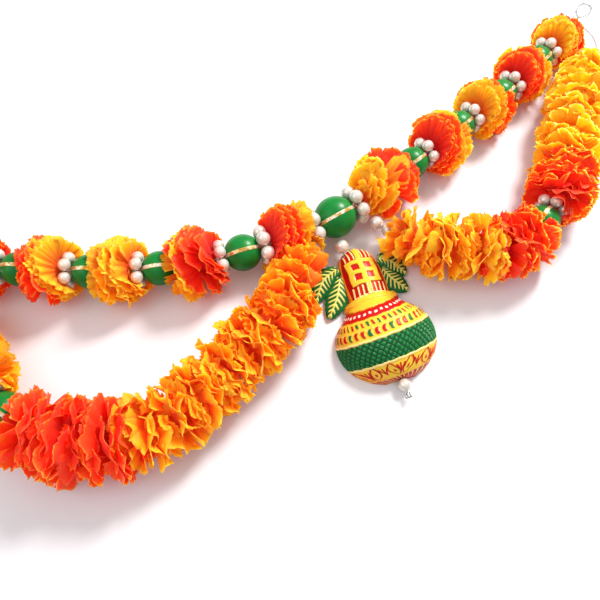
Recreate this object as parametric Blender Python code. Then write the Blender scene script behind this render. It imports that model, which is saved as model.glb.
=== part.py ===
# Door garland (toran) of cloth marigolds, green beads and pearls with a moulded
# pot-and-coconut pendant. It lies on a flat surface with its pendant on its flat back.
# Units are metres, +Z is up, and the origin is the bottom centre of the whole garland.
import math
import random

import bpy
import numpy as np

MM = 0.001

# Sizes of the strung pieces
PEARL_RADIUS = 5.0 * MM
BIG_PEARL_RADIUS = 5.75 * MM
BEAD_RADIUS = 13.5 * MM
BEAD_HALF_LENGTH = 13.8 * MM
LARGE_BEAD_RADIUS = 14.6 * MM
LARGE_BEAD_HALF_LENGTH = 15.0 * MM
CENTRE_BEAD_RADIUS = 17.0 * MM
CENTRE_BEAD_HALF_LENGTH = 17.5 * MM
BEAD_COLUMNS = 10
BEAD_SHARES = (-0.97, -0.76, -0.36, 0.36, 0.76, 0.97)
BEAD_BORE_RADIUS = 1.85 * MM
SWAG_BEAD_BORE_RADIUS = 2.4 * MM
THREAD_RADIUS = 0.8 * MM
THREAD_SIDES = 5
THREAD_SPACING = 15 * MM
PEARL_THREAD_RADIUS = 0.9 * MM
GAP = 0.3 * MM
PEARLS_PER_RING = 6
PEARL_SIDES = 6
PEARL_STATION = 0.42
PEARL_STATION_WIDTH = 0.95
RING_SLACK = 0.4 * MM
LINK_PEARL_ANGLE = math.radians(-30)

# Sizes of the cloth flowers and of the two full swags
CORE_RADIUS = 10.0 * MM
FLOWER_BORE_RADIUS = 2.0 * MM
SWAG_BORE_RADIUS = 4.0 * MM
PETAL_THICKNESS = 1.3 * MM
FLOWER_REACH = 17.5 * MM
CUP_REACH = 25.0 * MM
BIG_CUP_REACH = 22.0 * MM
CUP_ROOT_INSET = 6.5 * MM
BIG_CUP_ROOT_INSET = 9.0 * MM
PLAIN_ROOT_INSET = 2.5 * MM
SWAG_ROOT_INSET = 4.5 * MM
FOOT_WIDTH = 1.6 * MM
BORE_STEP = 26.0 * MM
SWAG_REACH = 17.0 * MM
RED_SWAG_REACH = 20.5 * MM
DISC_COLUMNS = 12
SWAG_DISC_PITCH = 15.5 * MM
SWAG_FAN_LENGTH = 24.0 * MM
SWAG_LEAN_SWAY = math.radians(4.0)
SWAG_LEAN_STEP = 1.9
SWAG_REACH_SWAY = 0.05
SWAG_REACH_STEP = 2.3
SWAG_START_GAP = 8.0 * MM
START_FAN = 14.0
BEAD_FAN = 40.0
RING_FAN = 44.0
END_FAN = 25.0
PETAL_WAVE = 6.5
PETAL_WAVE_SPREAD = 2.0
LONG_PETAL_CUT = (0.90, 1.04)
SHORT_PETAL_CUT = (0.78, 0.88)
COLUMNS_PER_NOTCH = 4
REACH_STEPS = 16
REACH_TESTS = (1.0, 0.75, 0.5)
SHORTEST_PETAL = 1.5 * MM
FLOWER_KEEP_CLEAR = 29.0 * MM
LINK_KEEP_CLEAR = 7.2 * MM
SWAG_START_KEEP_CLEAR = 12.0 * MM
SWAG_START_LENGTH = 30.0 * MM
COCONUT_KEEP_CLEAR = 21.0 * MM
LEAF_BASE_KEEP_CLEAR = 9.5 * MM
LEAF_TIP_KEEP_CLEAR = 8.5 * MM
FLOWER_SEED = 100
SWAG_SEED = 500

# Half-width and depth of the pendant along its axis, from the coconut's tip
COCONUT_SECTIONS = ((0.0, 5.5, 7.0), (1.6, 9.0, 9.6), (5.0, 12.4, 12.4), (11.0, 15.2, 14.6),
                    (20.0, 17.0, 16.0), (32.0, 17.4, 16.2), (45.7, 16.4, 15.4))
POT_SECTIONS = ((46.0, 21.6, 16.6), (49.5, 22.8, 17.6), (52.0, 22.2, 17.2), (57.5, 26.8, 20.6),
                (64.0, 33.4, 24.6), (72.0, 37.8, 27.2), (81.0, 39.2, 28.0), (90.0, 38.0, 27.0),
                (98.0, 34.2, 24.6), (105.0, 28.0, 20.6), (110.5, 20.4, 15.6), (114.0, 11.5, 10.4))
PENDANT_TIP = (62.5 * MM, -43.0 * MM)
PENDANT_LEAN = math.radians(17.0)
PENDANT_ARC_POINTS = 15
PENDANT_BACK_POINTS = 4
PIN_RADIUS = 0.5 * MM
PIN_SIDES = 6
PIN_HOLE_RADIUS = 0.9 * MM
PIN_HOLE_SIDES = 8
PIN_HOLE_SPARE = 1.0 * MM
BEAD_PIN_START = 13.0 * MM
BEAD_PIN_SURFACE = 20.0 * MM
COCONUT_PIN_DEPTH = 15.0 * MM
POT_PIN_DEPTH = 6.0 * MM
PIN_END_GAP = 0.6 * MM
BORED_PEARL_COLUMNS = 8
BORED_PEARL_SHARES = (-0.93, -0.55, 0.0, 0.55, 0.93)
PEARL_BORE_RADIUS = 0.9 * MM
BOTTOM_PIN_HEIGHT = 6.0 * MM
BOTTOM_PEARL_GAP = 0.4 * MM
KNOT_RADIUS = 1.9 * MM
KNOT_HALF_WIDTH = 2.2 * MM
KNOT_TURNS = 1.35
KNOT_POINTS = 10
KNOT_OFFSET = 3.0 * MM
KNOT_LIFT = 0.2 * MM
LEAF_WIDTH = 14.0 * MM
LEAF_THICKNESS = 3.6 * MM
LEAF_SHARES = (0.0, 0.12, 0.30, 0.48, 0.66, 0.83, 1.0)
LEAF_NOTCHES = (1.06, 0.9)
LEAF_OUTLINE = ((-0.5, 0.0), (-0.24, 0.42), (0.0, 0.5), (0.24, 0.42), (0.5, 0.0), (0.0, -0.45))
LEAF_LOWEST = 0.3 * MM

# Hanging ends
EYE_RADIUS = 3.4 * MM
EYE_POINTS = 10
HOOK_WIRE_RADIUS = 0.6 * MM
HOOK_WIRE_SIDES = 5
HOOK_POINTS = 18
HOOK_LENGTH = 30.0 * MM
HOOK_WIDTH = 17.0 * MM
HOOK_SHOULDER = 0.72
HOOK_TAPER = 0.28
HOOK_FLOOR_GAP = 0.2 * MM

YELLOW = (1.0, 0.52, 0.02, 1.0)
ORANGE = (1.0, 0.30, 0.01, 1.0)
RED = (0.86, 0.06, 0.01, 1.0)
GREEN = (0.01, 0.30, 0.08, 1.0)
PEARL = (0.88, 0.84, 0.78, 1.0)
THREAD = (0.75, 0.70, 0.60, 1.0)
SILVER = (0.70, 0.70, 0.70, 1.0)
POT_YELLOW = (0.95, 0.60, 0.03, 1.0)
COCONUT_RED = (0.60, 0.02, 0.01, 1.0)
LEAF_GREEN = (0.01, 0.16, 0.03, 1.0)


def mm(x, y, z):
    return np.array((x, y, z), dtype=float) * MM


# The route of the top string, left end to right end
TOP_ROUTE = [mm(-281, -66, 5), mm(-262, -67, 14), mm(-240, -67.5, 22), mm(-219, -67.5, 22),
             mm(-170, -70, 22), mm(-116, -70.5, 22), mm(-60, -63.5, 22), mm(-25, -54, 22),
             mm(7, -41.5, 22), mm(48.6, -21, 22), mm(86, 8, 22), mm(115, 33, 22),
             mm(139, 52.5, 22), mm(160, 73.5, 22), mm(182, 91, 22), mm(202, 110, 22),
             mm(223, 131.5, 22), mm(242, 151.5, 22), mm(263, 174, 22), mm(276, 190, 20),
             mm(287, 206, 13), mm(299, 224, 5)]

CENTRE_BEAD_PLACE = mm(48.6, -21, 22)
TOP_PEARL_PLACE = mm(53.7, -43.2, 13.0)

# Where the beads sit on the top string: name, x, radius, half-length, ring before, ring after
TOP_BEADS = [
    ("bead_left_1", -200.5 * MM, BEAD_RADIUS, BEAD_HALF_LENGTH, PEARL_RADIUS, None),
    ("bead_left_2", -143.5 * MM, BEAD_RADIUS, BEAD_HALF_LENGTH, PEARL_RADIUS, None),
    ("bead_left_3", -91.0 * MM, BEAD_RADIUS, BEAD_HALF_LENGTH, PEARL_RADIUS, None),
    ("bead_left_4", -26.0 * MM, LARGE_BEAD_RADIUS, LARGE_BEAD_HALF_LENGTH,
     PEARL_RADIUS, BIG_PEARL_RADIUS),
    ("bead_centre", CENTRE_BEAD_PLACE[0], CENTRE_BEAD_RADIUS, CENTRE_BEAD_HALF_LENGTH,
     BIG_PEARL_RADIUS, BIG_PEARL_RADIUS),
    ("bead_right_1", 115.0 * MM, BEAD_RADIUS, BEAD_HALF_LENGTH, None, PEARL_RADIUS),
    ("bead_right_2", 158.5 * MM, BEAD_RADIUS, BEAD_HALF_LENGTH, None, PEARL_RADIUS),
    ("bead_right_3", 201.0 * MM, BEAD_RADIUS, BEAD_HALF_LENGTH, None, PEARL_RADIUS),
    ("bead_right_4", 241.0 * MM, BEAD_RADIUS, BEAD_HALF_LENGTH, None, PEARL_RADIUS),
]
END_FLOWER_CORE = 21.5 * MM

# How the last cloth disc stands at a flower's end: lean in degrees, reach and root inset,
# against a bare bead, a ring of pearls or a ring of big pearls
END_SHAPES = {
    None: (45.0, FLOWER_REACH, PLAIN_ROOT_INSET),
    PEARL_RADIUS: (49.0, CUP_REACH, CUP_ROOT_INSET),
    BIG_PEARL_RADIUS: (46.0, BIG_CUP_REACH, BIG_CUP_ROOT_INSET),
}

# The flowers between the beads, left to right: name, then colour and number of cloth discs
TOP_FLOWERS = [
    ("flower_left_1", (("red", 5),)),
    ("flower_left_2", (("red", 2), ("yellow", 3))),
    ("flower_left_3", (("yellow", 5),)),
    ("flower_left_4", (("yellow", 2), ("red", 3))),
    ("flower_left_5", (("red", 3), ("yellow", 3))),
    ("flower_right_1", (("yellow", 4), ("red", 3))),
    ("flower_right_2", (("red", 3), ("yellow", 2))),
    ("flower_right_3", (("yellow", 3), ("red", 2))),
    ("flower_right_4", (("red", 3), ("yellow", 2))),
    ("flower_right_5", (("yellow", 3), ("red", 2))),
]

# The routes of the two swags, from their link pearls to where they join the top string
SWAG_LEFT_ROUTE = [mm(26.0, -57.5, 16), mm(22.5, -73, 21), mm(14, -94, 25), mm(1, -112, 25),
                   mm(-16, -133, 25), mm(-35, -155, 25), mm(-54, -174, 25), mm(-73, -189.5, 25),
                   mm(-93, -199, 25), mm(-115, -203, 25), mm(-138, -202.5, 25),
                   mm(-162, -196, 25), mm(-184, -182, 25), mm(-205, -163, 25),
                   mm(-224, -140, 25), mm(-240, -114, 24), mm(-256, -96, 20),
                   mm(-272, -84, 13), mm(-280, -73, 9), mm(-276, -66.3, 7)]
SWAG_RIGHT_ROUTE = [mm(97, -35.5, 17), mm(104, -41.5, 21), mm(113.5, -46.5, 24),
                    mm(124, -49.5, 25), mm(138, -51.5, 25), mm(156, -52.5, 25),
                    mm(178, -51.5, 25), mm(198, -43, 25), mm(216, -26, 25), mm(231, -4, 25),
                    mm(243, 24, 25), mm(252, 56, 25), mm(263, 88, 25), mm(277, 118, 25),
                    mm(291, 145, 24), mm(301, 168, 20), mm(306, 190, 13), mm(304, 208, 8),
                    mm(296, 219.5, 6.5)]
SWAG_LEFT_BEAD_X = -184.5 * MM
SWAG_RIGHT_BEAD_X = 214.5 * MM
SWAG_LEFT_RED_START_X = -96.0 * MM
SWAG_RIGHT_RED_START_X = 172.0 * MM
SWAG_RIGHT_RED_END_Y = 24.0 * MM
SWAG_LEFT_END_X = -240.0 * MM
SWAG_RIGHT_END_Y = 132.0 * MM

# The link pearls that lead from the centre rings to the swags
LINK_LEFT = [mm(31.5, -46.5, 16.5)]
LINK_RIGHT = [mm(82.5, -24.0, 18.0), mm(92.0, -29.5, 15.5)]

# Mango leaves: side, then base, middle and tip of each leaf
LEAVES_LEFT = [(mm(48.2, -62.8, 6.5), mm(38.0, -74.0, 5.5), mm(34.0, -91.5, 2.6)),
               (mm(48.8, -66.8, 5.5), mm(47.0, -85.5, 4.8), mm(41.0, -103.5, 2.6))]
LEAVES_RIGHT = [(mm(85.6, -52.2, 6.5), mm(94.5, -54.0, 5.5), mm(107.5, -64.0, 2.6)),
                (mm(89.0, -56.0, 5.5), mm(96.0, -67.0, 4.8), mm(107.0, -77.0, 2.6))]


class Route:
    """A smooth curve through a list of points, measured by length along it."""

    SAMPLES_PER_SPAN = 24
    HALF_STEP = 1.5 * MM

    def __init__(self, points):
        padded = [2 * points[0] - points[1], *points, 2 * points[-1] - points[-2]]
        samples = []
        for index in range(1, len(padded) - 2):
            before, start, end, after = padded[index - 1:index + 3]
            for step in range(self.SAMPLES_PER_SPAN):
                t = step / self.SAMPLES_PER_SPAN
                samples.append(0.5 * (2 * start + (end - before) * t
                                      + (2 * before - 5 * start + 4 * end - after) * t ** 2
                                      + (3 * start - before - 3 * end + after) * t ** 3))
        samples.append(points[-1])
        self.samples = np.array(samples)
        steps = np.linalg.norm(np.diff(self.samples, axis=0), axis=1)
        self.lengths = np.concatenate(([0.0], np.cumsum(steps)))
        self.length = self.lengths[-1]

    def at(self, s):
        return np.array([np.interp(s, self.lengths, self.samples[:, k]) for k in range(3)])

    def frame(self, s):
        """The point at s, with the curve's direction, its level side and its upward normal."""
        ahead = min(s + self.HALF_STEP, self.length)
        along = self.at(ahead) - self.at(max(s - self.HALF_STEP, 0.0))
        along /= np.linalg.norm(along)
        side = np.cross(along, (0.0, 0.0, 1.0))
        side /= np.linalg.norm(side)
        return self.at(s), along, side, np.cross(side, along)

    def where(self, axis, value):
        """The length at which a coordinate first reaches a value."""
        passed = (self.samples[:, axis] - value) * (self.samples[0, axis] - value) <= 0
        return self.lengths[int(np.argmax(passed))]


def add_object(name, vertices, faces, material):
    mesh = bpy.data.meshes.new(name)
    mesh.from_pydata([tuple(v) for v in vertices], [], faces)
    mesh.validate()
    mesh.update()
    mesh.materials.append(material)
    obj = bpy.data.objects.new(name, mesh)
    bpy.context.scene.collection.objects.link(obj)
    return obj


def make_material(name, colour, roughness, metallic=0.0):
    material = bpy.data.materials.new(name)
    material.use_nodes = True
    shader = material.node_tree.nodes["Principled BSDF"]
    shader.inputs["Base Color"].default_value = colour
    shader.inputs["Roughness"].default_value = roughness
    shader.inputs["Metallic"].default_value = metallic
    return material


def loop_grid(rings, closed_rings):
    """Triangles between rings of points; the last ring joins the first if closed_rings."""
    count = len(rings[0])
    faces = []
    pairs = len(rings) if closed_rings else len(rings) - 1
    for ring in range(pairs):
        following = (ring + 1) % len(rings)
        for column in range(count):
            beside = (column + 1) % count
            a = ring * count + column
            b = ring * count + beside
            c = following * count + beside
            d = following * count + column
            faces.append((a, b, c))
            faces.append((a, c, d))
    if not closed_rings:
        last = (len(rings) - 1) * count
        faces.append(tuple(reversed(range(count))))
        faces.append(tuple(last + column for column in range(count)))
    return faces


def signed_volume(vertices, faces):
    points = np.array(vertices)
    total = 0.0
    for face in faces:
        for k in range(1, len(face) - 1):
            a, b, c = points[face[0]], points[face[k]], points[face[k + 1]]
            total += np.dot(a, np.cross(b, c))
    return total


def add_grid(name, rings, closed_rings, material):
    """One closed body from rings of points, with its faces turned outward."""
    faces = loop_grid(rings, closed_rings)
    vertices = [point for ring in rings for point in ring]
    if signed_volume(vertices, faces) < 0:
        faces = [tuple(reversed(face)) for face in faces]
    return add_object(name, vertices, faces, material)


def circle(centre, side, up, radius, count):
    angles = [2 * math.pi * k / count for k in range(count)]
    return [centre + radius * (math.cos(a) * side + math.sin(a) * up) for a in angles]


def capsule_distance(point, capsule):
    start, end, radius = capsule
    along = end - start
    share = np.clip(np.dot(point - start, along) / max(np.dot(along, along), 1e-12), 0.0, 1.0)
    return np.linalg.norm(point - start - share * along) - radius


def free_reach(root, direction, reach, keep_clear):
    """How far a petal may go from its root before it meets something else."""
    for step in range(REACH_STEPS):
        length = max(reach * (1 - step / REACH_STEPS), SHORTEST_PETAL)
        tests = [root + direction * length * share for share in REACH_TESTS]
        if all(capsule_distance(p, c) > 0 for p in tests for c in keep_clear):
            return length
    return SHORTEST_PETAL


def cloth_discs(name, route, start, end, discs, bore_radius, material, seed, keep_clear=()):
    """Gathered cloth discs with waved, cut edges, as one body round a bore along the route."""
    draw = random.Random(seed)
    rings = []

    def ring_at(s, radius):
        centre, _, side, up = route.frame(s)
        return circle(centre, side, up, radius, DISC_COLUMNS)

    rings.append(ring_at(start, CORE_RADIUS))
    if discs[0][0] - start > 2 * FOOT_WIDTH:
        rings.append(ring_at(discs[0][0] - FOOT_WIDTH, CORE_RADIUS))
    for index, (root_s, lean, reach) in enumerate(discs):
        centre, along, side, up = route.frame(root_s)
        first_tip = []
        second_tip = []
        for column in range(DISC_COLUMNS):
            angle = 2 * math.pi * column / DISC_COLUMNS
            outward = math.cos(angle) * side + math.sin(angle) * up
            wave = PETAL_WAVE if column % 2 else -PETAL_WAVE
            wave += draw.uniform(-PETAL_WAVE_SPREAD, PETAL_WAVE_SPREAD)
            cut = draw.uniform(*(LONG_PETAL_CUT if column % COLUMNS_PER_NOTCH else SHORT_PETAL_CUT))
            tilt = lean + math.radians(wave)
            direction = math.sin(tilt) * along + math.cos(tilt) * outward
            across = math.cos(tilt) * along - math.sin(tilt) * outward
            root = centre + CORE_RADIUS * outward
            length = free_reach(root, direction, reach * cut, keep_clear)
            tip = root + direction * length
            half = 0.5 * PETAL_THICKNESS * across
            first_tip.append(tip - half)
            second_tip.append(tip + half)
        rings.append(first_tip)
        rings.append(second_tip)
        if index + 1 < len(discs):
            rings.append(ring_at(0.5 * (root_s + discs[index + 1][0]), CORE_RADIUS))
    if end - discs[-1][0] > 2 * FOOT_WIDTH:
        rings.append(ring_at(discs[-1][0] + FOOT_WIDTH, CORE_RADIUS))
    rings.append(ring_at(end, CORE_RADIUS))
    bore_steps = max(1, round((end - start) / BORE_STEP))
    for step in range(bore_steps + 1):
        rings.append(ring_at(end + (start - end) * step / bore_steps, bore_radius))
    for ring in rings:
        for point in ring:
            point[2] = max(point[2], 0.0)
    return add_grid(name, rings, True, material)


def make_bead(name, route, s, radius, half_length, bore_radius, material):
    centre, along, side, up = route.frame(s)
    rings = []
    for share in BEAD_SHARES:
        ring_radius = radius * math.sqrt(1 - share ** 2)
        rings.append(circle(centre + share * half_length * along, side, up, ring_radius,
                            BEAD_COLUMNS))
    for share in (BEAD_SHARES[-1], BEAD_SHARES[0]):
        rings.append(circle(centre + share * half_length * along, side, up, bore_radius,
                            BEAD_COLUMNS))
    return add_grid(name, rings, True, material)


def pearl_stations(radius):
    """Offsets from a pearl's middle along its thread, with the radius there."""
    width = PEARL_STATION_WIDTH * radius
    return ((-PEARL_STATION * radius, width), (PEARL_STATION * radius, width))


def make_pearl_ring(name, route, s, radius, material):
    """Six pearls on a loop of thread round the string, touching one another."""
    centre, along, side, up = route.frame(s)
    ring_radius = radius / math.sin(math.pi / PEARLS_PER_RING)
    rings = []
    for pearl in range(PEARLS_PER_RING):
        middle = 2 * math.pi * (pearl + 0.5) / PEARLS_PER_RING
        stations = [(middle - math.pi / PEARLS_PER_RING, PEARL_THREAD_RADIUS)]
        stations += [(middle + offset / ring_radius, r) for offset, r in pearl_stations(radius)]
        for angle, section in stations:
            outward = math.cos(angle) * side + math.sin(angle) * up
            rings.append(circle(centre + ring_radius * outward, outward, along, section,
                                PEARL_SIDES))
    return add_grid(name, rings, True, material)


def link_run(route, direction, links, end):
    """Points from a pearl of the ring beside the centre bead, by the link pearls, to a swag."""
    at = (route.where(0, CENTRE_BEAD_PLACE[0])
          + direction * ring_spacing(CENTRE_BEAD_RADIUS, BIG_PEARL_RADIUS))
    centre, _, side, up = route.frame(at)
    ring_radius = BIG_PEARL_RADIUS / math.sin(math.pi / PEARLS_PER_RING)
    outward = math.cos(LINK_PEARL_ANGLE) * side + math.sin(LINK_PEARL_ANGLE) * up
    return [centre + ring_radius * outward, *links, end]


def add_link_pearls(ring, points, radius, material):
    """Joins a short run of pearls to a ring of pearls, from one of the ring's pearls."""
    centres = points[:-1]
    end = points[-1]
    rings = []
    for index, centre in enumerate(centres):
        after = points[index + 1]
        before = centres[index - 1] if index else centre
        along = after - before
        along /= np.linalg.norm(along)
        side = np.cross(along, (0.0, 0.0, 1.0))
        side /= np.linalg.norm(side)
        up = np.cross(side, along)
        if index:
            for offset, section in pearl_stations(radius):
                rings.append(circle(centre + offset * along, side, up, section, PEARL_SIDES))
        else:
            rings.append(circle(centre, side, up, PEARL_THREAD_RADIUS, PEARL_SIDES))
        rings.append(circle(0.5 * (centre + after) if index + 1 < len(centres) else end,
                            side, up, PEARL_THREAD_RADIUS, PEARL_SIDES))
    run = add_grid("link_run", rings, False, material)
    join(ring, run)
    return ring


def apply_boolean(target, other, operation):
    modifier = target.modifiers.new("boolean", "BOOLEAN")
    modifier.operation = operation
    modifier.solver = "EXACT"
    modifier.object = other
    bpy.context.view_layer.update()
    evaluated = target.evaluated_get(bpy.context.evaluated_depsgraph_get())
    mesh = bpy.data.meshes.new_from_object(evaluated)
    target.modifiers.remove(modifier)
    target.data = mesh
    bpy.data.objects.remove(other)


def join(target, other):
    apply_boolean(target, other, "UNION")


def drill(target, start, end, radius):
    """A plain pin hole from start to end."""
    along = (end - start) / np.linalg.norm(end - start)
    side = np.cross(along, (0.0, 0.0, 1.0))
    side /= np.linalg.norm(side)
    up = np.cross(side, along)
    rings = [circle(point, side, up, radius, PIN_HOLE_SIDES) for point in (start, end)]
    cutter = add_grid("pin_hole", rings, False, target.data.materials[0])
    apply_boolean(target, cutter, "DIFFERENCE")


def make_tube(name, points, radius, sides, material):
    """A round wire or thread through a list of points, with flat ends."""
    rings = []
    for index, point in enumerate(points):
        along = points[min(index + 1, len(points) - 1)] - points[max(index - 1, 0)]
        along /= np.linalg.norm(along)
        side = np.cross(along, (0.0, 0.0, 1.0))
        side /= np.linalg.norm(side)
        rings.append(circle(point, side, np.cross(side, along), radius, sides))
    return add_grid(name, rings, False, material)


def make_bored_pearl(name, centre, along, radius, material):
    along = along / np.linalg.norm(along)
    side = np.cross(along, (0.0, 0.0, 1.0))
    side /= np.linalg.norm(side)
    up = np.cross(side, along)
    rings = []
    for share in BORED_PEARL_SHARES:
        rings.append(circle(centre + share * radius * along, side, up,
                            radius * math.sqrt(1 - share ** 2), BORED_PEARL_COLUMNS))
    for share in (BORED_PEARL_SHARES[-1], BORED_PEARL_SHARES[0]):
        rings.append(circle(centre + share * radius * along, side, up,
                            PEARL_BORE_RADIUS, BORED_PEARL_COLUMNS))
    return add_grid(name, rings, True, material)


def fan_of_discs(first_root, last_root, first_lean, last_lean, count, first_reach, last_reach):
    """Roots, leans and reaches of discs that fan out evenly along a stretch of string."""
    discs = []
    for index in range(count):
        share = index / (count - 1)
        root = first_root + (last_root - first_root) * share
        lean = math.radians(first_lean + (last_lean - first_lean) * share)
        discs.append((root, lean, FLOWER_REACH))
    discs[0] = (*discs[0][:2], first_reach)
    discs[-1] = (*discs[-1][:2], last_reach)
    return discs


def ring_spacing(bead_radius, pearl_radius):
    """Distance from a bead's middle to the middle of the pearl ring that rests against it."""
    ring_radius = pearl_radius / math.sin(math.pi / PEARLS_PER_RING)
    apart = bead_radius + pearl_radius + GAP
    return math.sqrt(apart ** 2 - ring_radius ** 2) + RING_SLACK


def make_top_string(route, keep_clear, materials):
    """Beads, pearl rings and flowers along the top string."""
    spaces = []
    previous_end = None
    for name, x, radius, half_length, ring_before, ring_after in TOP_BEADS:
        s = route.where(0, x)
        make_bead(name, route, s, radius, half_length, BEAD_BORE_RADIUS, materials["green"])
        before = s - half_length - GAP
        after = s + half_length + GAP
        if ring_before:
            at = s - ring_spacing(radius, ring_before)
            make_pearl_ring(f"pearls_before_{name}", route, at, ring_before, materials["pearl"])
            before = at - ring_before - GAP
        if ring_after:
            at = s + ring_spacing(radius, ring_after)
            make_pearl_ring(f"pearls_after_{name}", route, at, ring_after, materials["pearl"])
            after = at + ring_after + GAP
        if previous_end is None:
            previous_end = (before - END_FLOWER_CORE, None)
        spaces.append((previous_end[0], before, previous_end[1], ring_before))
        previous_end = (after, ring_after)
    spaces.append((previous_end[0], previous_end[0] + END_FLOWER_CORE, previous_end[1], None))

    bodies = []
    for number, ((name, colours), space) in enumerate(zip(TOP_FLOWERS, spaces)):
        start, end, cup_start, cup_end = space
        count = sum(discs for _, discs in colours)
        lean_start, reach_start, inset_start = END_SHAPES[cup_start]
        lean_end, reach_end, inset_end = END_SHAPES[cup_end]
        fan = fan_of_discs(start + inset_start, end - inset_end, -lean_start, lean_end, count,
                           reach_start, reach_end)
        used = 0
        for part, (colour, discs) in enumerate(colours):
            own = fan[used:used + discs]
            used += discs
            first = start
            last = end
            if part > 0:
                first = 0.5 * (own[0][0] + fan[used - discs - 1][0] + GAP)
            if used < count:
                last = 0.5 * (own[-1][0] + fan[used][0] - GAP)
            node = name if len(colours) == 1 else f"{name}_{colour}"
            cloth_discs(node, route, first, last, own, FLOWER_BORE_RADIUS, materials[colour],
                        FLOWER_SEED + 10 * number + part, keep_clear)
        bodies.append((route.at(start), route.at(end), FLOWER_KEEP_CLEAR))
    return bodies


def swag_discs(start, end, fan_start, fan_end, reach):
    """Discs along a full stretch, upright in its middle and fanned out at a free end."""
    count = max(3, round((end - start) / SWAG_DISC_PITCH))
    discs = []
    first = start + (CUP_ROOT_INSET if fan_start else SWAG_ROOT_INSET)
    last = end - (PLAIN_ROOT_INSET if fan_end else SWAG_ROOT_INSET)
    for index in range(count):
        share = index / (count - 1)
        root = first + (last - first) * share
        from_start = (root - start) / SWAG_FAN_LENGTH
        from_end = (end - root) / SWAG_FAN_LENGTH
        lean = -fan_start * max(0.0, 1 - from_start) + fan_end * max(0.0, 1 - from_end)
        lean += SWAG_LEAN_SWAY * math.sin(SWAG_LEAN_STEP * index)
        sway = SWAG_REACH_SWAY * math.sin(SWAG_REACH_STEP * index + 1.0)
        discs.append((root, lean, reach * (1.0 + sway)))
    return discs


def make_swag(side, route, sections, bead_s, ring_side, keep_clear, materials):
    """One full swag: cloth sections in order, with a bead and its pearl ring between two."""
    make_bead(f"bead_swag_{side}", route, bead_s, BEAD_RADIUS, BEAD_HALF_LENGTH,
              SWAG_BEAD_BORE_RADIUS, materials["green"])
    ring_s = bead_s + ring_side * ring_spacing(BEAD_RADIUS, PEARL_RADIUS)
    make_pearl_ring(f"pearls_swag_{side}", route, ring_s, PEARL_RADIUS, materials["pearl"])
    for number, section in enumerate(sections):
        name, colour, start, end, fan_start, fan_end, reach = section
        discs = swag_discs(start, end, math.radians(fan_start), math.radians(fan_end), reach)
        cloth_discs(name, route, start, end, discs, SWAG_BORE_RADIUS, materials[colour],
                    SWAG_SEED + 40 * len(side) + number, keep_clear)


def pendant_point(s, lateral, height):
    axis = np.array((math.sin(PENDANT_LEAN), -math.cos(PENDANT_LEAN), 0.0))
    across = np.array((math.cos(PENDANT_LEAN), math.sin(PENDANT_LEAN), 0.0))
    tip = np.array((*PENDANT_TIP, 0.0))
    return tip + s * axis + lateral * across + np.array((0.0, 0.0, height))


def relief_section(s, half_width, depth):
    """A half-round outline that stands on the flat back."""
    points = []
    for k in range(PENDANT_ARC_POINTS):
        angle = math.pi * k / (PENDANT_ARC_POINTS - 1)
        points.append(pendant_point(s, half_width * math.cos(angle), depth * math.sin(angle)))
    for k in range(1, PENDANT_BACK_POINTS + 1):
        lateral = half_width * (-1 + 2 * k / (PENDANT_BACK_POINTS + 1))
        points.append(pendant_point(s, lateral, 0.0))
    return points


def make_relief(name, sections, material):
    rings = [relief_section(s * MM, w * MM, d * MM) for s, w, d in sections]
    return add_grid(name, rings, False, material)


def make_leaf(name, base, middle, tip, material):
    """A thick arched mango leaf with a lens-shaped section and a notched edge."""
    route = Route([base, middle, tip])
    rings = []
    for index, share in enumerate(LEAF_SHARES):
        centre, _, side, up = route.frame(share * route.length)
        breadth = math.sin(math.pi * (0.16 + 0.80 * share)) ** 0.7
        width = LEAF_WIDTH * LEAF_NOTCHES[index % 2] * breadth
        thickness = LEAF_THICKNESS * (1.05 - 0.45 * share)
        ring = [centre + a * width * side + b * thickness * up for a, b in LEAF_OUTLINE]
        for point in ring:
            point[2] = max(point[2], LEAF_LOWEST)
        rings.append(ring)
    return add_grid(name, rings, False, material)


def make_leaves(name, leaves, material):
    first = make_leaf(name, *leaves[0], material)
    second = make_leaf(name + "_second", *leaves[1], material)
    join(first, second)


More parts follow.
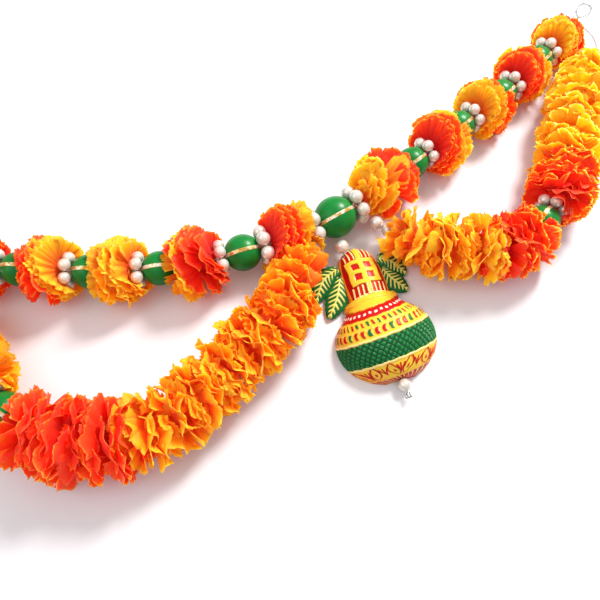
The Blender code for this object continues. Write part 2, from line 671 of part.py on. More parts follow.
def make_pendant(centre_bead, materials):
    """Pot, coconut, mango leaves, two pearls and the two pins that hold them."""
    pot = make_relief("kalash_pot", POT_SECTIONS, materials["pot"])
    coconut = make_relief("coconut", COCONUT_SECTIONS, materials["coconut"])
    make_leaves("mango_leaves_left", LEAVES_LEFT, materials["leaf"])
    make_leaves("mango_leaves_right", LEAVES_RIGHT, materials["leaf"])

    apart = TOP_PEARL_PLACE - CENTRE_BEAD_PLACE
    along = apart / np.linalg.norm(apart)
    make_bored_pearl("pearl_pendant_top", TOP_PEARL_PLACE, along, BIG_PEARL_RADIUS,
                     materials["pearl"])
    hole_end = CENTRE_BEAD_PLACE + BEAD_PIN_START * along
    drill(centre_bead, CENTRE_BEAD_PLACE + BEAD_PIN_SURFACE * along, hole_end, PIN_HOLE_RADIUS)
    pin_end = TOP_PEARL_PLACE + COCONUT_PIN_DEPTH * along
    drill(coconut, TOP_PEARL_PLACE, pin_end + PIN_HOLE_SPARE * along, PIN_HOLE_RADIUS)
    make_tube("pendant_pin_top", [hole_end + PIN_END_GAP * along, TOP_PEARL_PLACE, pin_end],
              PIN_RADIUS, PIN_SIDES, materials["silver"])

    last = POT_SECTIONS[-1][0] * MM
    height = BOTTOM_PIN_HEIGHT
    drill(pot, pendant_point(last + PIN_HOLE_SPARE, 0.0, height),
          pendant_point(last - POT_PIN_DEPTH, 0.0, height), PIN_HOLE_RADIUS)
    pearl_s = last + BOTTOM_PEARL_GAP + PEARL_RADIUS
    down = pendant_point(1.0, 0.0, 0.0) - pendant_point(0.0, 0.0, 0.0)
    make_bored_pearl("pearl_pendant_bottom", pendant_point(pearl_s, 0.0, height), down,
                     PEARL_RADIUS, materials["pearl"])
    route = [pendant_point(last - POT_PIN_DEPTH + PIN_END_GAP, 0.0, height),
             pendant_point(pearl_s, 0.0, height),
             pendant_point(pearl_s + PEARL_RADIUS + GAP, 0.0, height)]
    knot_s = pearl_s + PEARL_RADIUS + KNOT_OFFSET
    for k in range(KNOT_POINTS + 1):
        share = k / KNOT_POINTS
        angle = KNOT_TURNS * 2 * math.pi * share
        route.append(pendant_point(knot_s + KNOT_RADIUS * math.sin(angle),
                                   (2 * share - 1) * KNOT_HALF_WIDTH,
                                   height - KNOT_RADIUS * math.cos(angle) + KNOT_LIFT))
    make_tube("pendant_knot", route, PIN_RADIUS, PIN_SIDES, materials["silver"])


def thread_points(route, start, end):
    count = round((end - start) / THREAD_SPACING)
    return [route.at(start + (end - start) * k / count) for k in range(count + 1)]


def make_eye(centre, along, material):
    """A small closed loop of thread, upright in the plane of the string."""
    along = np.array((along[0], along[1], 0.0))
    along /= np.linalg.norm(along)
    up = np.array((0.0, 0.0, 1.0))
    across = np.cross(along, up)
    rings = []
    for k in range(EYE_POINTS):
        angle = 2 * math.pi * k / EYE_POINTS
        outward = math.cos(angle) * along + math.sin(angle) * up
        rings.append(circle(centre + EYE_RADIUS * outward, outward, across, THREAD_RADIUS,
                            THREAD_SIDES))
    return add_grid("eye", rings, True, material)


def make_hook(name, start, along, material):
    """A drop-shaped loop of steel wire that hangs on a nail, linked through the eye."""
    along = np.array((along[0], along[1], 0.0))
    along /= np.linalg.norm(along)
    across = np.cross(along, (0.0, 0.0, 1.0))
    rings = []
    rest_height = HOOK_WIRE_RADIUS + HOOK_FLOOR_GAP
    for k in range(HOOK_POINTS):
        angle = 2 * math.pi * k / HOOK_POINTS
        forward = 0.5 * HOOK_LENGTH * (1 - math.cos(angle))
        breadth = HOOK_SHOULDER - HOOK_TAPER * math.cos(angle)
        sideways = 0.5 * HOOK_WIDTH * math.sin(angle) * breadth
        height = start[2] + (rest_height - start[2]) * forward / HOOK_LENGTH
        centre = np.array((start[0], start[1], height)) + forward * along + sideways * across
        tangent = math.sin(angle) * along + math.cos(angle) * across
        outward = np.cross(tangent, (0.0, 0.0, 1.0))
        outward /= np.linalg.norm(outward)
        rings.append(circle(centre, outward, np.array((0.0, 0.0, 1.0)), HOOK_WIRE_RADIUS,
                            HOOK_WIRE_SIDES))
    return add_grid(name, rings, True, material)


def make_end(route, at_end, thread, name, materials):
    """The eye at one end of the string, with the wire hook through it."""
    s = route.length if at_end else 0.0
    tip, along, _, _ = route.frame(s)
    if not at_end:
        along = -along
    level = np.array((along[0], along[1], 0.0))
    level /= np.linalg.norm(level)
    middle = tip + EYE_RADIUS * level
    eye = make_eye(middle, level, materials["thread"])
    join(thread, eye)
    inside = EYE_RADIUS - THREAD_RADIUS - HOOK_WIRE_RADIUS - GAP
    make_hook(name, middle + inside * level, level, materials["silver"])


def centre_on_origin():
    """Moves the garland so that the origin is the bottom centre of its box."""
    objects = list(bpy.context.scene.collection.objects)
    corners = np.array([v.co for obj in objects for v in obj.data.vertices])
    low = corners.min(axis=0)
    high = corners.max(axis=0)
    shift = np.array((0.5 * (low[0] + high[0]), 0.5 * (low[1] + high[1]), low[2]))
    for obj in objects:
        for vertex in obj.data.vertices:
            vertex.co = np.array(vertex.co) - shift
        obj.data.update()


def clear_scene():
    for obj in list(bpy.data.objects):
        bpy.data.objects.remove(obj)


def build():
    clear_scene()
    materials = {
        "yellow": make_material("yellow_cloth", YELLOW, 0.7),
        "orange": make_material("orange_cloth", ORANGE, 0.7),
        "red": make_material("red_cloth", RED, 0.7),
        "green": make_material("green_bead", GREEN, 0.25),
        "pearl": make_material("pearl", PEARL, 0.2),
        "thread": make_material("thread", THREAD, 0.8),
        "silver": make_material("silver_wire", SILVER, 0.3, 1.0),
        "pot": make_material("pot_paint", POT_YELLOW, 0.45),
        "coconut": make_material("coconut_paint", COCONUT_RED, 0.45),
        "leaf": make_material("leaf_paint", LEAF_GREEN, 0.35),
    }
    top = Route(TOP_ROUTE)
    left = Route(SWAG_LEFT_ROUTE)
    right = Route(SWAG_RIGHT_ROUTE)
    link_runs = [("before", link_run(top, -1, LINK_LEFT, left.at(0.0))),
                 ("after", link_run(top, 1, LINK_RIGHT, right.at(0.0)))]
    link_bodies = [(start, end, LINK_KEEP_CLEAR) for _, points in link_runs
                   for start, end in zip(points[:-1], points[1:])]
    link_bodies += [(route.at(0.0), route.at(SWAG_START_LENGTH), SWAG_START_KEEP_CLEAR)
                    for route in (left, right)]
    keep_clear = make_top_string(top, link_bodies, materials)
    for side, points in link_runs:
        ring = bpy.data.objects[f"pearls_{side}_bead_centre"]
        add_link_pearls(ring, points, BIG_PEARL_RADIUS, materials["pearl"])

    for leaf in LEAVES_LEFT + LEAVES_RIGHT:
        base, middle, tip = leaf
        keep_clear.append((base, middle, LEAF_BASE_KEEP_CLEAR))
        keep_clear.append((middle, tip, LEAF_TIP_KEEP_CLEAR))
    coconut_end = COCONUT_SECTIONS[-1][0] * MM
    keep_clear.append((pendant_point(0.0, 0.0, 0.0), pendant_point(coconut_end, 0.0, 0.0),
                       COCONUT_KEEP_CLEAR))

    bead_s = left.where(0, SWAG_LEFT_BEAD_X)
    red_start = left.where(0, SWAG_LEFT_RED_START_X)
    before_bead = bead_s - BEAD_HALF_LENGTH - GAP
    after_ring = bead_s + ring_spacing(BEAD_RADIUS, PEARL_RADIUS) + PEARL_RADIUS + GAP
    sections = [
        ("swag_left_orange", "orange", SWAG_START_GAP, red_start - GAP, START_FAN, 0.0,
         SWAG_REACH),
        ("swag_left_red", "red", red_start, before_bead, 0.0, BEAD_FAN, RED_SWAG_REACH),
        ("swag_left_yellow", "yellow", after_ring, left.where(0, SWAG_LEFT_END_X), RING_FAN,
         END_FAN, SWAG_REACH),
    ]
    make_swag("left", left, sections, bead_s, 1, keep_clear, materials)

    bead_s = right.where(0, SWAG_RIGHT_BEAD_X)
    red_start = right.where(0, SWAG_RIGHT_RED_START_X)
    red_end = right.where(1, SWAG_RIGHT_RED_END_Y)
    before_bead = bead_s - BEAD_HALF_LENGTH - GAP
    after_ring = bead_s + ring_spacing(BEAD_RADIUS, PEARL_RADIUS) + PEARL_RADIUS + GAP
    sections = [
        ("swag_right_yellow_inner", "yellow", SWAG_START_GAP, red_start - GAP, START_FAN, 0.0,
         SWAG_REACH),
        ("swag_right_red_inner", "red", red_start, before_bead, 0.0, BEAD_FAN, SWAG_REACH),
        ("swag_right_red_outer", "red", after_ring, red_end - GAP, RING_FAN, 0.0, SWAG_REACH),
        ("swag_right_yellow_outer", "yellow", red_end, right.where(1, SWAG_RIGHT_END_Y), 0.0,
         END_FAN, SWAG_REACH),
    ]
    make_swag("right", right, sections, bead_s, 1, keep_clear, materials)

    make_pendant(bpy.data.objects["bead_centre"], materials)

    thread = make_tube("string", thread_points(top, 0.0, top.length), THREAD_RADIUS,
                       THREAD_SIDES, materials["thread"])
    for route in (left, right):
        run = make_tube("swag_string", thread_points(route, 0.6 * MM, route.length),
                        THREAD_RADIUS, THREAD_SIDES, materials["thread"])
        join(thread, run)
    make_end(top, False, thread, "hook_left", materials)
    make_end(top, True, thread, "hook_right", materials)
    centre_on_origin()


build()
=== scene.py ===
# Looks of the door garland: gathered cloth petals, green beads with glitter ribbon, pearls,
# thread, wire and the painted pendant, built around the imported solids. Units are metres.
import math
from dataclasses import dataclass

import bpy
import numpy as np
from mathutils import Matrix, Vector


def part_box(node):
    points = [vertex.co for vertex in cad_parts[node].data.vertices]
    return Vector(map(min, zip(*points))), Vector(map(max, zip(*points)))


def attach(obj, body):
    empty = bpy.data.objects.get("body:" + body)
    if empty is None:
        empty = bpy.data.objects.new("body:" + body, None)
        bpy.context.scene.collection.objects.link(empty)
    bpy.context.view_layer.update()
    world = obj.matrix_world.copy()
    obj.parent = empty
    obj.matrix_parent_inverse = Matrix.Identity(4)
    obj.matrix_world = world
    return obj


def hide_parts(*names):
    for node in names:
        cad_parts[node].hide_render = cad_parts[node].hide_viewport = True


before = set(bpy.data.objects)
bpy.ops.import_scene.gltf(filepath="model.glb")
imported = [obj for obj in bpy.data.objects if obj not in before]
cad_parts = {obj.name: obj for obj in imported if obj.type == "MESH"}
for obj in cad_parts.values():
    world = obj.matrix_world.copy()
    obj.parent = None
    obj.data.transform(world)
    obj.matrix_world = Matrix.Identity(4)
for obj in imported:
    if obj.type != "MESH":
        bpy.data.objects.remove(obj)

MM = 0.001
TURN = 2 * math.pi
UP = (0.0, 0.0, 1.0)
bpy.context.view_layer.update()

# Sizes shared with the solids
PEARL_RADIUS = 5.0 * MM
BIG_PEARL_RADIUS = 5.75 * MM
PEARLS_PER_RING = 6
BEAD_RADIUS = 13.5 * MM
BEAD_HALF_LENGTH = 13.8 * MM
GAP = 0.3 * MM
RING_SLACK = 0.4 * MM
CORE_RADIUS = 10.0 * MM
SWAG_REACH = 17.0 * MM
RED_SWAG_REACH = 20.5 * MM
END_FLOWER_CORE = 21.5 * MM
SWAG_START_GAP = 8.0 * MM
PENDANT_LEAN = math.radians(17.0)
BOTTOM_PIN_HEIGHT = 6.0 * MM
EYE_RADIUS = 3.4 * MM
THREAD_RADIUS = 0.8 * MM
WIRE_RADIUS = 0.6 * MM
HOOK_LENGTH = 30.0 * MM
HOOK_WIDTH = 17.0 * MM

CAMERA_ELEVATION = math.radians(65.0)
CAMERA_DISTANCE = 480.0 * MM


def mm(x, y, z):
    return np.array((x, y, z), dtype=float) * MM


CENTRE_BEAD = mm(48.6, -21, 22)
TOP_PEARL = mm(53.7, -43.2, 13.0)
box_low, box_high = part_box("bead_centre")
SHIFT = 0.5 * (np.array(box_low) + np.array(box_high)) - CENTRE_BEAD


def place(x, y, z):
    """A point of the layout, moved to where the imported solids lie."""
    return mm(x, y, z) + SHIFT


def places(*points):
    return [place(*point) for point in points]


TOP_ROUTE = places(
    (-281, -66, 5), (-262, -67, 14), (-240, -67.5, 22), (-219, -67.5, 22), (-170, -70, 22),
    (-116, -70.5, 22), (-60, -63.5, 22), (-25, -54, 22), (7, -41.5, 22), (48.6, -21, 22),
    (86, 8, 22), (115, 33, 22), (139, 52.5, 22), (160, 73.5, 22), (182, 91, 22),
    (202, 110, 22), (223, 131.5, 22), (242, 151.5, 22), (263, 174, 22), (276, 190, 20),
    (287, 206, 13), (299, 224, 5))
SWAG_LEFT_ROUTE = places(
    (26.0, -57.5, 16), (22.5, -73, 21), (14, -94, 25), (1, -112, 25), (-16, -133, 25),
    (-35, -155, 25), (-54, -174, 25), (-73, -189.5, 25), (-93, -199, 25), (-115, -203, 25),
    (-138, -202.5, 25), (-162, -196, 25), (-184, -182, 25), (-205, -163, 25),
    (-224, -140, 25), (-240, -114, 24), (-256, -96, 20), (-272, -84, 13), (-280, -73, 9),
    (-276, -66.3, 7))
SWAG_RIGHT_ROUTE = places(
    (97, -35.5, 17), (104, -41.5, 21), (113.5, -46.5, 24), (124, -49.5, 25),
    (138, -51.5, 25), (156, -52.5, 25), (178, -51.5, 25), (198, -43, 25), (216, -26, 25),
    (231, -4, 25), (243, 24, 25), (252, 56, 25), (263, 88, 25), (277, 118, 25),
    (291, 145, 24), (301, 168, 20), (306, 190, 13), (304, 208, 8), (296, 219.5, 6.5))
LINK_LEFT = places((31.5, -46.5, 16.5))
LINK_RIGHT = places((82.5, -24.0, 18.0), (92.0, -29.5, 15.5))
LEAVES = {
    "mango_leaves_left": (
        places((50.0, -61.5, 7.0), (38.5, -72.0, 6.0), (33.0, -88.5, 2.6)),
        places((52.0, -68.8, 5.5), (49.5, -85.5, 4.8), (43.0, -102.5, 2.6))),
    "mango_leaves_right": (
        places((82.5, -52.2, 7.0), (93.0, -53.5, 6.0), (106.0, -63.0, 2.6)),
        places((85.5, -60.0, 5.5), (95.0, -70.0, 4.8), (106.5, -77.5, 2.6))),
}
PENDANT_TIP = place(62.5, -43.0, 0.0)
TOP_PEARL_PLACE = TOP_PEARL + SHIFT
CAMERA_AIM = place(20, -85, 0)

# Radius and half-length of the beads
BEAD = (BEAD_RADIUS, BEAD_HALF_LENGTH)
LARGE_BEAD = (14.6 * MM, 15.0 * MM)
CENTRE = (17.0 * MM, 17.5 * MM)
# Beads on the top string: name, x, size, and the radius of the pearls before and after
TOP_BEADS = (
    ("bead_left_1", -200.5, BEAD, PEARL_RADIUS, None),
    ("bead_left_2", -143.5, BEAD, PEARL_RADIUS, None),
    ("bead_left_3", -91.0, BEAD, PEARL_RADIUS, None),
    ("bead_left_4", -26.0, LARGE_BEAD, PEARL_RADIUS, BIG_PEARL_RADIUS),
    ("bead_centre", 48.6, CENTRE, BIG_PEARL_RADIUS, BIG_PEARL_RADIUS),
    ("bead_right_1", 115.0, BEAD, None, PEARL_RADIUS),
    ("bead_right_2", 158.5, BEAD, None, PEARL_RADIUS),
    ("bead_right_3", 201.0, BEAD, None, PEARL_RADIUS),
    ("bead_right_4", 241.0, BEAD, None, PEARL_RADIUS),
)


class Route:
    """A smooth curve through a list of points, measured by length along it."""

    SAMPLES_PER_SPAN = 24
    HALF_STEP = 1.5 * MM

    def __init__(self, points):
        padded = [2 * points[0] - points[1], *points, 2 * points[-1] - points[-2]]
        samples = []
        for index in range(1, len(padded) - 2):
            before, start, end, after = padded[index - 1:index + 3]
            for step in range(self.SAMPLES_PER_SPAN):
                t = step / self.SAMPLES_PER_SPAN
                samples.append(0.5 * (2 * start + (end - before) * t
                                      + (2 * before - 5 * start + 4 * end - after) * t ** 2
                                      + (3 * start - before - 3 * end + after) * t ** 3))
        samples.append(points[-1])
        self.samples = np.array(samples)
        steps = np.linalg.norm(np.diff(self.samples, axis=0), axis=1)
        self.lengths = np.concatenate(([0.0], np.cumsum(steps)))
        self.length = self.lengths[-1]

    def at(self, s):
        """Points at the lengths s, which may be one number or an array."""
        return np.stack([np.interp(s, self.lengths, self.samples[:, k]) for k in range(3)], -1)

    def frame(self, s):
        """Points at s, with the direction, the level side and the upward normal there."""
        s = np.asarray(s, dtype=float)
        ahead = np.minimum(s + self.HALF_STEP, self.length)
        along = unit(self.at(ahead) - self.at(np.maximum(s - self.HALF_STEP, 0.0)))
        side = unit(np.cross(along, UP))
        return self.at(s), along, side, np.cross(side, along)

    def where(self, axis, value):
        """The length at which a coordinate of the layout, in millimetres, is first reached."""
        value = value * MM + SHIFT[axis]
        passed = (self.samples[:, axis] - value) * (self.samples[0, axis] - value) <= 0
        return self.lengths[int(np.argmax(passed))]


def unit(vectors):
    return vectors / np.linalg.norm(vectors, axis=-1, keepdims=True)


def level(vector):
    flat = np.array((vector[0], vector[1], 0.0))
    return flat / np.linalg.norm(flat)


def smoothstep(low, high, values):
    t = np.clip((values - low) / (high - low), 0.0, 1.0)
    return t * t * (3 - 2 * t)


def circle(count):
    """Angles evenly spaced round a full turn."""
    return np.linspace(0, TURN, count + 1)[:-1]


def spokes(angles, side, up):
    """Directions at some angles in the plane of two others."""
    return np.cos(angles)[..., None] * side + np.sin(angles)[..., None] * up


# Meshes

def new_object(name, vertices, faces, material, smooth_angle=None):
    mesh = bpy.data.meshes.new(name)
    vertices = np.asarray(vertices, dtype=np.float32).reshape(-1, 3)
    faces = np.asarray(faces, dtype=np.int32)
    corners = faces.shape[1]
    mesh.vertices.add(len(vertices))
    mesh.vertices.foreach_set("co", vertices.ravel())
    mesh.loops.add(faces.size)
    mesh.loops.foreach_set("vertex_index", faces.ravel())
    mesh.polygons.add(len(faces))
    mesh.polygons.foreach_set("loop_start", np.arange(0, faces.size, corners, dtype=np.int32))
    mesh.update(calc_edges=True)
    mesh.validate()
    mesh.materials.append(material)
    mesh.shade_smooth()
    if smooth_angle is not None:
        mesh.set_sharp_from_angle(angle=math.radians(smooth_angle))
    obj = bpy.data.objects.new(name, mesh)
    bpy.context.scene.collection.objects.link(obj)
    return obj


def add_colour(obj, name, values):
    attribute = obj.data.attributes.new(name, "FLOAT_COLOR", "POINT")
    filled = np.ones((len(values), 4), dtype=np.float32)
    filled[:, :values.shape[1]] = values
    attribute.data.foreach_set("color", filled.ravel())


def add_vectors(obj, name, values):
    attribute = obj.data.attributes.new(name, "FLOAT_VECTOR", "POINT")
    attribute.data.foreach_set("vector", np.asarray(values, dtype=np.float32).ravel())


def add_piece(obj, slot, *nodes):
    """Attaches a piece of the garland to the root body and hides the solids that it stands for.
    Its slot is not used.
    """
    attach(obj, "root")
    if nodes:
        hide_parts(*nodes)


def ring_faces(rings, sides, joined):
    """Quads between closed rings of points. Joined rings lead from the last to the first."""
    ring = np.arange(rings if joined else rings - 1)
    r, c = np.meshgrid(ring, np.arange(sides), indexing="ij")
    r2 = (r + 1) % rings
    c2 = (c + 1) % sides
    quads = np.stack([r * sides + c, r * sides + c2, r2 * sides + c2, r2 * sides + c], -1)
    return quads.reshape(-1, 4)


def pinched(ring, share):
    """A ring of points drawn in towards its middle."""
    middle = ring.mean(axis=-2, keepdims=True)
    return middle + share * (ring - middle)


class Soup:
    """Grids of points collected into one mesh, with a colour at each point."""

    def __init__(self):
        self.points = []
        self.faces = []
        self.colours = []
        self.count = 0

    def add(self, points, faces, colours=None):
        points = np.asarray(points).reshape(-1, 3)
        self.points.append(points)
        self.faces.append(np.asarray(faces) + self.count)
        if colours is not None:
            self.colours.append(np.asarray(colours).reshape(len(points), -1))
        self.count += len(points)

    def add_rings(self, rings, colours=None, joined=False, flipped=False, pinch=None):
        """Adds closed rings of points. They are joined end to end, or left open, or closed
        at both ends by the last ring drawn in to a share of its width."""
        if pinch is not None:
            rings = np.concatenate([pinched(rings[:1], pinch), rings,
                                    pinched(rings[-1:], pinch)])
            if colours is not None:
                colours = np.concatenate([colours[:1], colours, colours[-1:]])
        faces = ring_faces(len(rings), rings.shape[1], joined)
        if flipped:
            faces = faces[:, ::-1]
        self.add(rings, faces, colours)

    def build(self, name, material, smooth_angle=None, colour_name=None):
        obj = new_object(name, np.concatenate(self.points), np.concatenate(self.faces),
                         material, smooth_angle)
        if colour_name:
            add_colour(obj, colour_name, np.concatenate(self.colours))
        return obj


def add_tube(soup, path, radius, sides, closed=False):
    """A tube along a path, with cone ends where it isn't closed."""
    tangents = unit(np.gradient(path, axis=0))
    normal = unit(np.cross(tangents[0], (0.3, 0.2, 1.0)))
    angles = circle(sides)
    rings = []
    for point, tangent in zip(path, tangents):
        normal = unit(normal - np.dot(normal, tangent) * tangent)
        rings.append(point + radius * spokes(angles, normal, np.cross(tangent, normal)))
    soup.add_rings(np.array(rings), joined=closed, pinch=None if closed else 0.3)


def add_ball(soup, centre, axis, radius, rows=13, columns=20):
    """A round ball with small flats at its two poles."""
    axis = unit(np.asarray(axis, dtype=float))
    side = unit(np.cross(axis, (0.31, 0.17, 1.0)))
    flat = 0.03
    polar = np.linspace(flat, math.pi - flat, rows)[:, None, None]
    ring = spokes(circle(columns), side, np.cross(axis, side))
    soup.add_rings(centre + radius * (np.cos(polar) * axis + np.sin(polar) * ring),
                   flipped=True)


# Materials

class Shading:
    """A node tree, with short ways to add the nodes that this scene uses."""

    def __init__(self, tree):
        self.nodes = tree.nodes
        self.link = tree.links.new

    def place(self, output="Object"):
        return self.nodes.new("ShaderNodeTexCoord").outputs[output]

    def attribute(self, name, output="Color"):
        node = self.nodes.new("ShaderNodeAttribute")
        node.attribute_name = name
        return node.outputs[output]

    def noise(self, scale, detail=2.0, roughness=0.5, vector=None):
        node = self.nodes.new("ShaderNodeTexNoise")
        for name, value in (("Scale", scale), ("Detail", detail), ("Roughness", roughness)):
            node.inputs[name].default_value = value
        self.link(self.place() if vector is None else vector, node.inputs["Vector"])
        return node.outputs["Fac"]

    def ramp(self, source, stops):
        """Turns a value into a colour, by stops that are each a position and a colour."""
        node = self.nodes.new("ShaderNodeValToRGB")
        elements = node.color_ramp.elements
        while len(elements) < len(stops):
            elements.new(0.5)
        for element, (position, colour) in zip(elements, stops):
            element.position = position
            element.color = (*colour, 1.0)
        self.link(source, node.inputs["Fac"])
        return node.outputs["Color"]

    def split(self, colour):
        node = self.nodes.new("ShaderNodeSeparateColor")
        self.link(colour, node.inputs["Color"])
        return [node.outputs[name] for name in ("Red", "Green", "Blue")]

    def mix(self, factor, first, second, blend="MIX"):
        node = self.nodes.new("ShaderNodeMix")
        node.data_type = "RGBA"
        node.blend_type = blend
        if isinstance(factor, float):
            node.inputs["Factor"].default_value = factor
        else:
            self.link(factor, node.inputs["Factor"])
        for name, colour in (("A", first), ("B", second)):
            target = [i for i in node.inputs if i.name == name and i.type == "RGBA"][0]
            self.link(colour, target)
        return [o for o in node.outputs if o.type == "RGBA"][0]


class Surface(Shading):
    """A new material, with the values of its shader's own sockets."""

    def __init__(self, name, **values):
        self.material = bpy.data.materials.new(name)
        self.material.use_nodes = True
        super().__init__(self.material.node_tree)
        self.inputs = self.nodes["Principled BSDF"].inputs
        for socket, value in values.items():
            self.inputs[socket.replace("_", " ")].default_value = value

    def finish(self, colour, height=None, distance=0.0, strength=1.0):
        """Links the colour, and the height of the bumps where there are any."""
        self.link(colour, self.inputs["Base Color"])
        if height is not None:
            node = self.nodes.new("ShaderNodeBump")
            node.inputs["Distance"].default_value = distance
            node.inputs["Strength"].default_value = strength
            self.link(height, node.inputs["Height"])
            self.link(node.outputs["Normal"], self.inputs["Normal"])
        return self.material


WHITE = (1.0, 1.0, 1.0)
GLOW_STRENGTH = 0.09
# Cloth: its glow, where its shades lie between a petal's root and its edge, and the colours
# there of plain and of warm cloth. The colours run from deep at the root to light at the edge,
# partly the dye and partly painted shade.
CLOTH_COLOURS = {
    "yellow": ((1.0, 0.14, 0.0), (0.0, 0.32, 0.62, 1.0),
               ((0.75, 0.045, 0.002), (0.93, 0.20, 0.003), (1.0, 0.45, 0.006),
                (1.0, 0.66, 0.028)),
               ((0.70, 0.020, 0.002), (0.90, 0.10, 0.002), (0.98, 0.25, 0.003),
                (1.0, 0.44, 0.008))),
    "orange": ((1.0, 0.07, 0.0), (0.0, 0.34, 0.66, 1.0),
               ((0.78, 0.020, 0.002), (0.95, 0.13, 0.002), (1.0, 0.37, 0.004),
                (1.0, 0.58, 0.014)),
               ((0.74, 0.012, 0.002), (0.92, 0.060, 0.002), (1.0, 0.19, 0.003),
                (1.0, 0.38, 0.007))),
    "red": ((1.0, 0.01, 0.0), (0.0, 0.32, 0.62, 1.0),
            ((0.48, 0.002, 0.002), (0.78, 0.006, 0.003), (0.96, 0.024, 0.004),
             (1.0, 0.060, 0.012)),
            ((0.54, 0.004, 0.002), (0.84, 0.014, 0.003), (1.0, 0.050, 0.005),
             (1.0, 0.100, 0.014))),
}


def cloth_material(name, glow, positions, plain, warm):
    """Dyed cloth, in which tone mixes plain and warm, and the painted shade of each point darkens
    the colour towards the root. Its faint glow stands in for the light that passes through many
    thin layers."""
    surface = Surface(name + "_cloth", Roughness=0.6, Subsurface_Weight=0.85,
                      Subsurface_Scale=0.003, Subsurface_Radius=(1.0, 0.45, 0.12),
                      Sheen_Weight=0.06, Sheen_Roughness=0.5, Specular_IOR_Level=0.2,
                      Emission_Color=(*glow, 1.0), Emission_Strength=GLOW_STRENGTH)
    shade, tone, _ = surface.split(surface.attribute("cloth"))
    colour = surface.mix(tone, surface.ramp(shade, list(zip(positions, plain))),
                         surface.ramp(shade, list(zip(positions, warm))))
    streaks = surface.noise(1.0, 3.0, 0.6, surface.attribute("grain", "Vector"))
    # Darker where the streak noise is low; the same noise gives the height of the bumps.
    streak_darkening = surface.ramp(streaks, ((0.25, (0.96, 0.82, 0.78)), (0.60, WHITE)))
    return surface.finish(surface.mix(0.8, colour, streak_darkening, "MULTIPLY"), streaks, 0.0005, 0.55)


def glitter_material():
    """Gold glitter tape: small facets of gold, pale gold and white."""
    surface = Surface("gold_glitter", Metallic=0.55, Roughness=0.32)
    flakes = surface.nodes.new("ShaderNodeTexVoronoi")
    flakes.inputs["Scale"].default_value = 1500.0
    surface.link(surface.place(), flakes.inputs["Vector"])
    red, green, _ = surface.split(flakes.outputs["Color"])
    gold = surface.ramp(surface.noise(260.0), ((0.38, (0.62, 0.36, 0.07)),
                                               (0.50, (0.86, 0.66, 0.26)),
                                               (0.60, (0.97, 0.93, 0.80))))
    spark = surface.ramp(red, ((0.0, (0.55, 0.50, 0.42)), (0.8, WHITE)))
    return surface.finish(surface.mix(1.0, gold, spark, "MULTIPLY"), green, 0.0003, 0.8)


def painted_material(name, roughness):
    """Hand-painted relief: its colours are worked out at each point of the mesh."""
    surface = Surface(name, Roughness=roughness, Coat_Weight=0.10, Coat_Roughness=0.12,
                      Specular_IOR_Level=0.15)
    strokes = surface.noise(340.0, 4.0, 0.6)
    # Darker where the stroke noise is low; the same noise gives the height of the bumps.
    stroke_darkening = surface.ramp(strokes, ((0.30, (0.80, 0.78, 0.74)), (0.60, WHITE)))
    colour = surface.mix(0.6, surface.attribute("paint"), stroke_darkening, "MULTIPLY")
    return surface.finish(colour, strokes, 0.0004, 0.5)


def clouded_material(name, scale, detail, stops, grain=None, **values):
    """A colour that wanders between stops, by a noise of some scale and detail. The grain of
    the surface is the scale, detail, depth and strength of its bumps."""
    surface = Surface(name, **values)
    colour = surface.ramp(surface.noise(scale, detail), stops)
    if grain is None:
        return surface.finish(colour)
    grain_scale, grain_detail, distance, strength = grain
    height = surface.noise(grain_scale, grain_detail)
    return surface.finish(colour, height, distance, strength)


CLOTH = {name: cloth_material(name, *recipe) for name, recipe in CLOTH_COLOURS.items()}
BEAD_PAINT = clouded_material(
    "bead_paint", 90.0, 3.0, ((0.3, (0.0005, 0.130, 0.016)), (0.7, (0.001, 0.200, 0.026))),
    (420.0, 2.0, 0.0002, 0.25), Roughness=0.36, Coat_Weight=0.10, Coat_Roughness=0.10,
    Specular_IOR_Level=0.20)
GLITTER = glitter_material()
PEARL_COAT = clouded_material(
    "pearl_coat", 120.0, 2.0, ((0.35, (0.60, 0.55, 0.48)), (0.65, (0.70, 0.65, 0.58))),
    Metallic=0.3, Roughness=0.24, Coat_Weight=0.9, Coat_Roughness=0.05,
    Specular_IOR_Level=0.7)
COTTON = clouded_material(
    "cotton_thread", 900.0, 3.0, ((0.3, (0.36, 0.33, 0.28)), (0.7, (0.52, 0.49, 0.44))),
    (900.0, 3.0, 0.0002, 0.6), Roughness=0.85, Sheen_Weight=0.3)
STEEL = clouded_material(
    "steel_wire", 700.0, 2.0, ((0.3, (0.24, 0.24, 0.25)), (0.7, (0.36, 0.36, 0.37))),
    Metallic=0.8, Roughness=0.34)


def from_rod(points, start, end):
    """Vectors from a rod's axis to some points, and their lengths."""
    along = end - start
    share = np.clip((points - start) @ along / max(along @ along, 1e-12), 0, 1)
    away = points - start - share[:, None] * along
    return away, np.linalg.norm(away, axis=1)


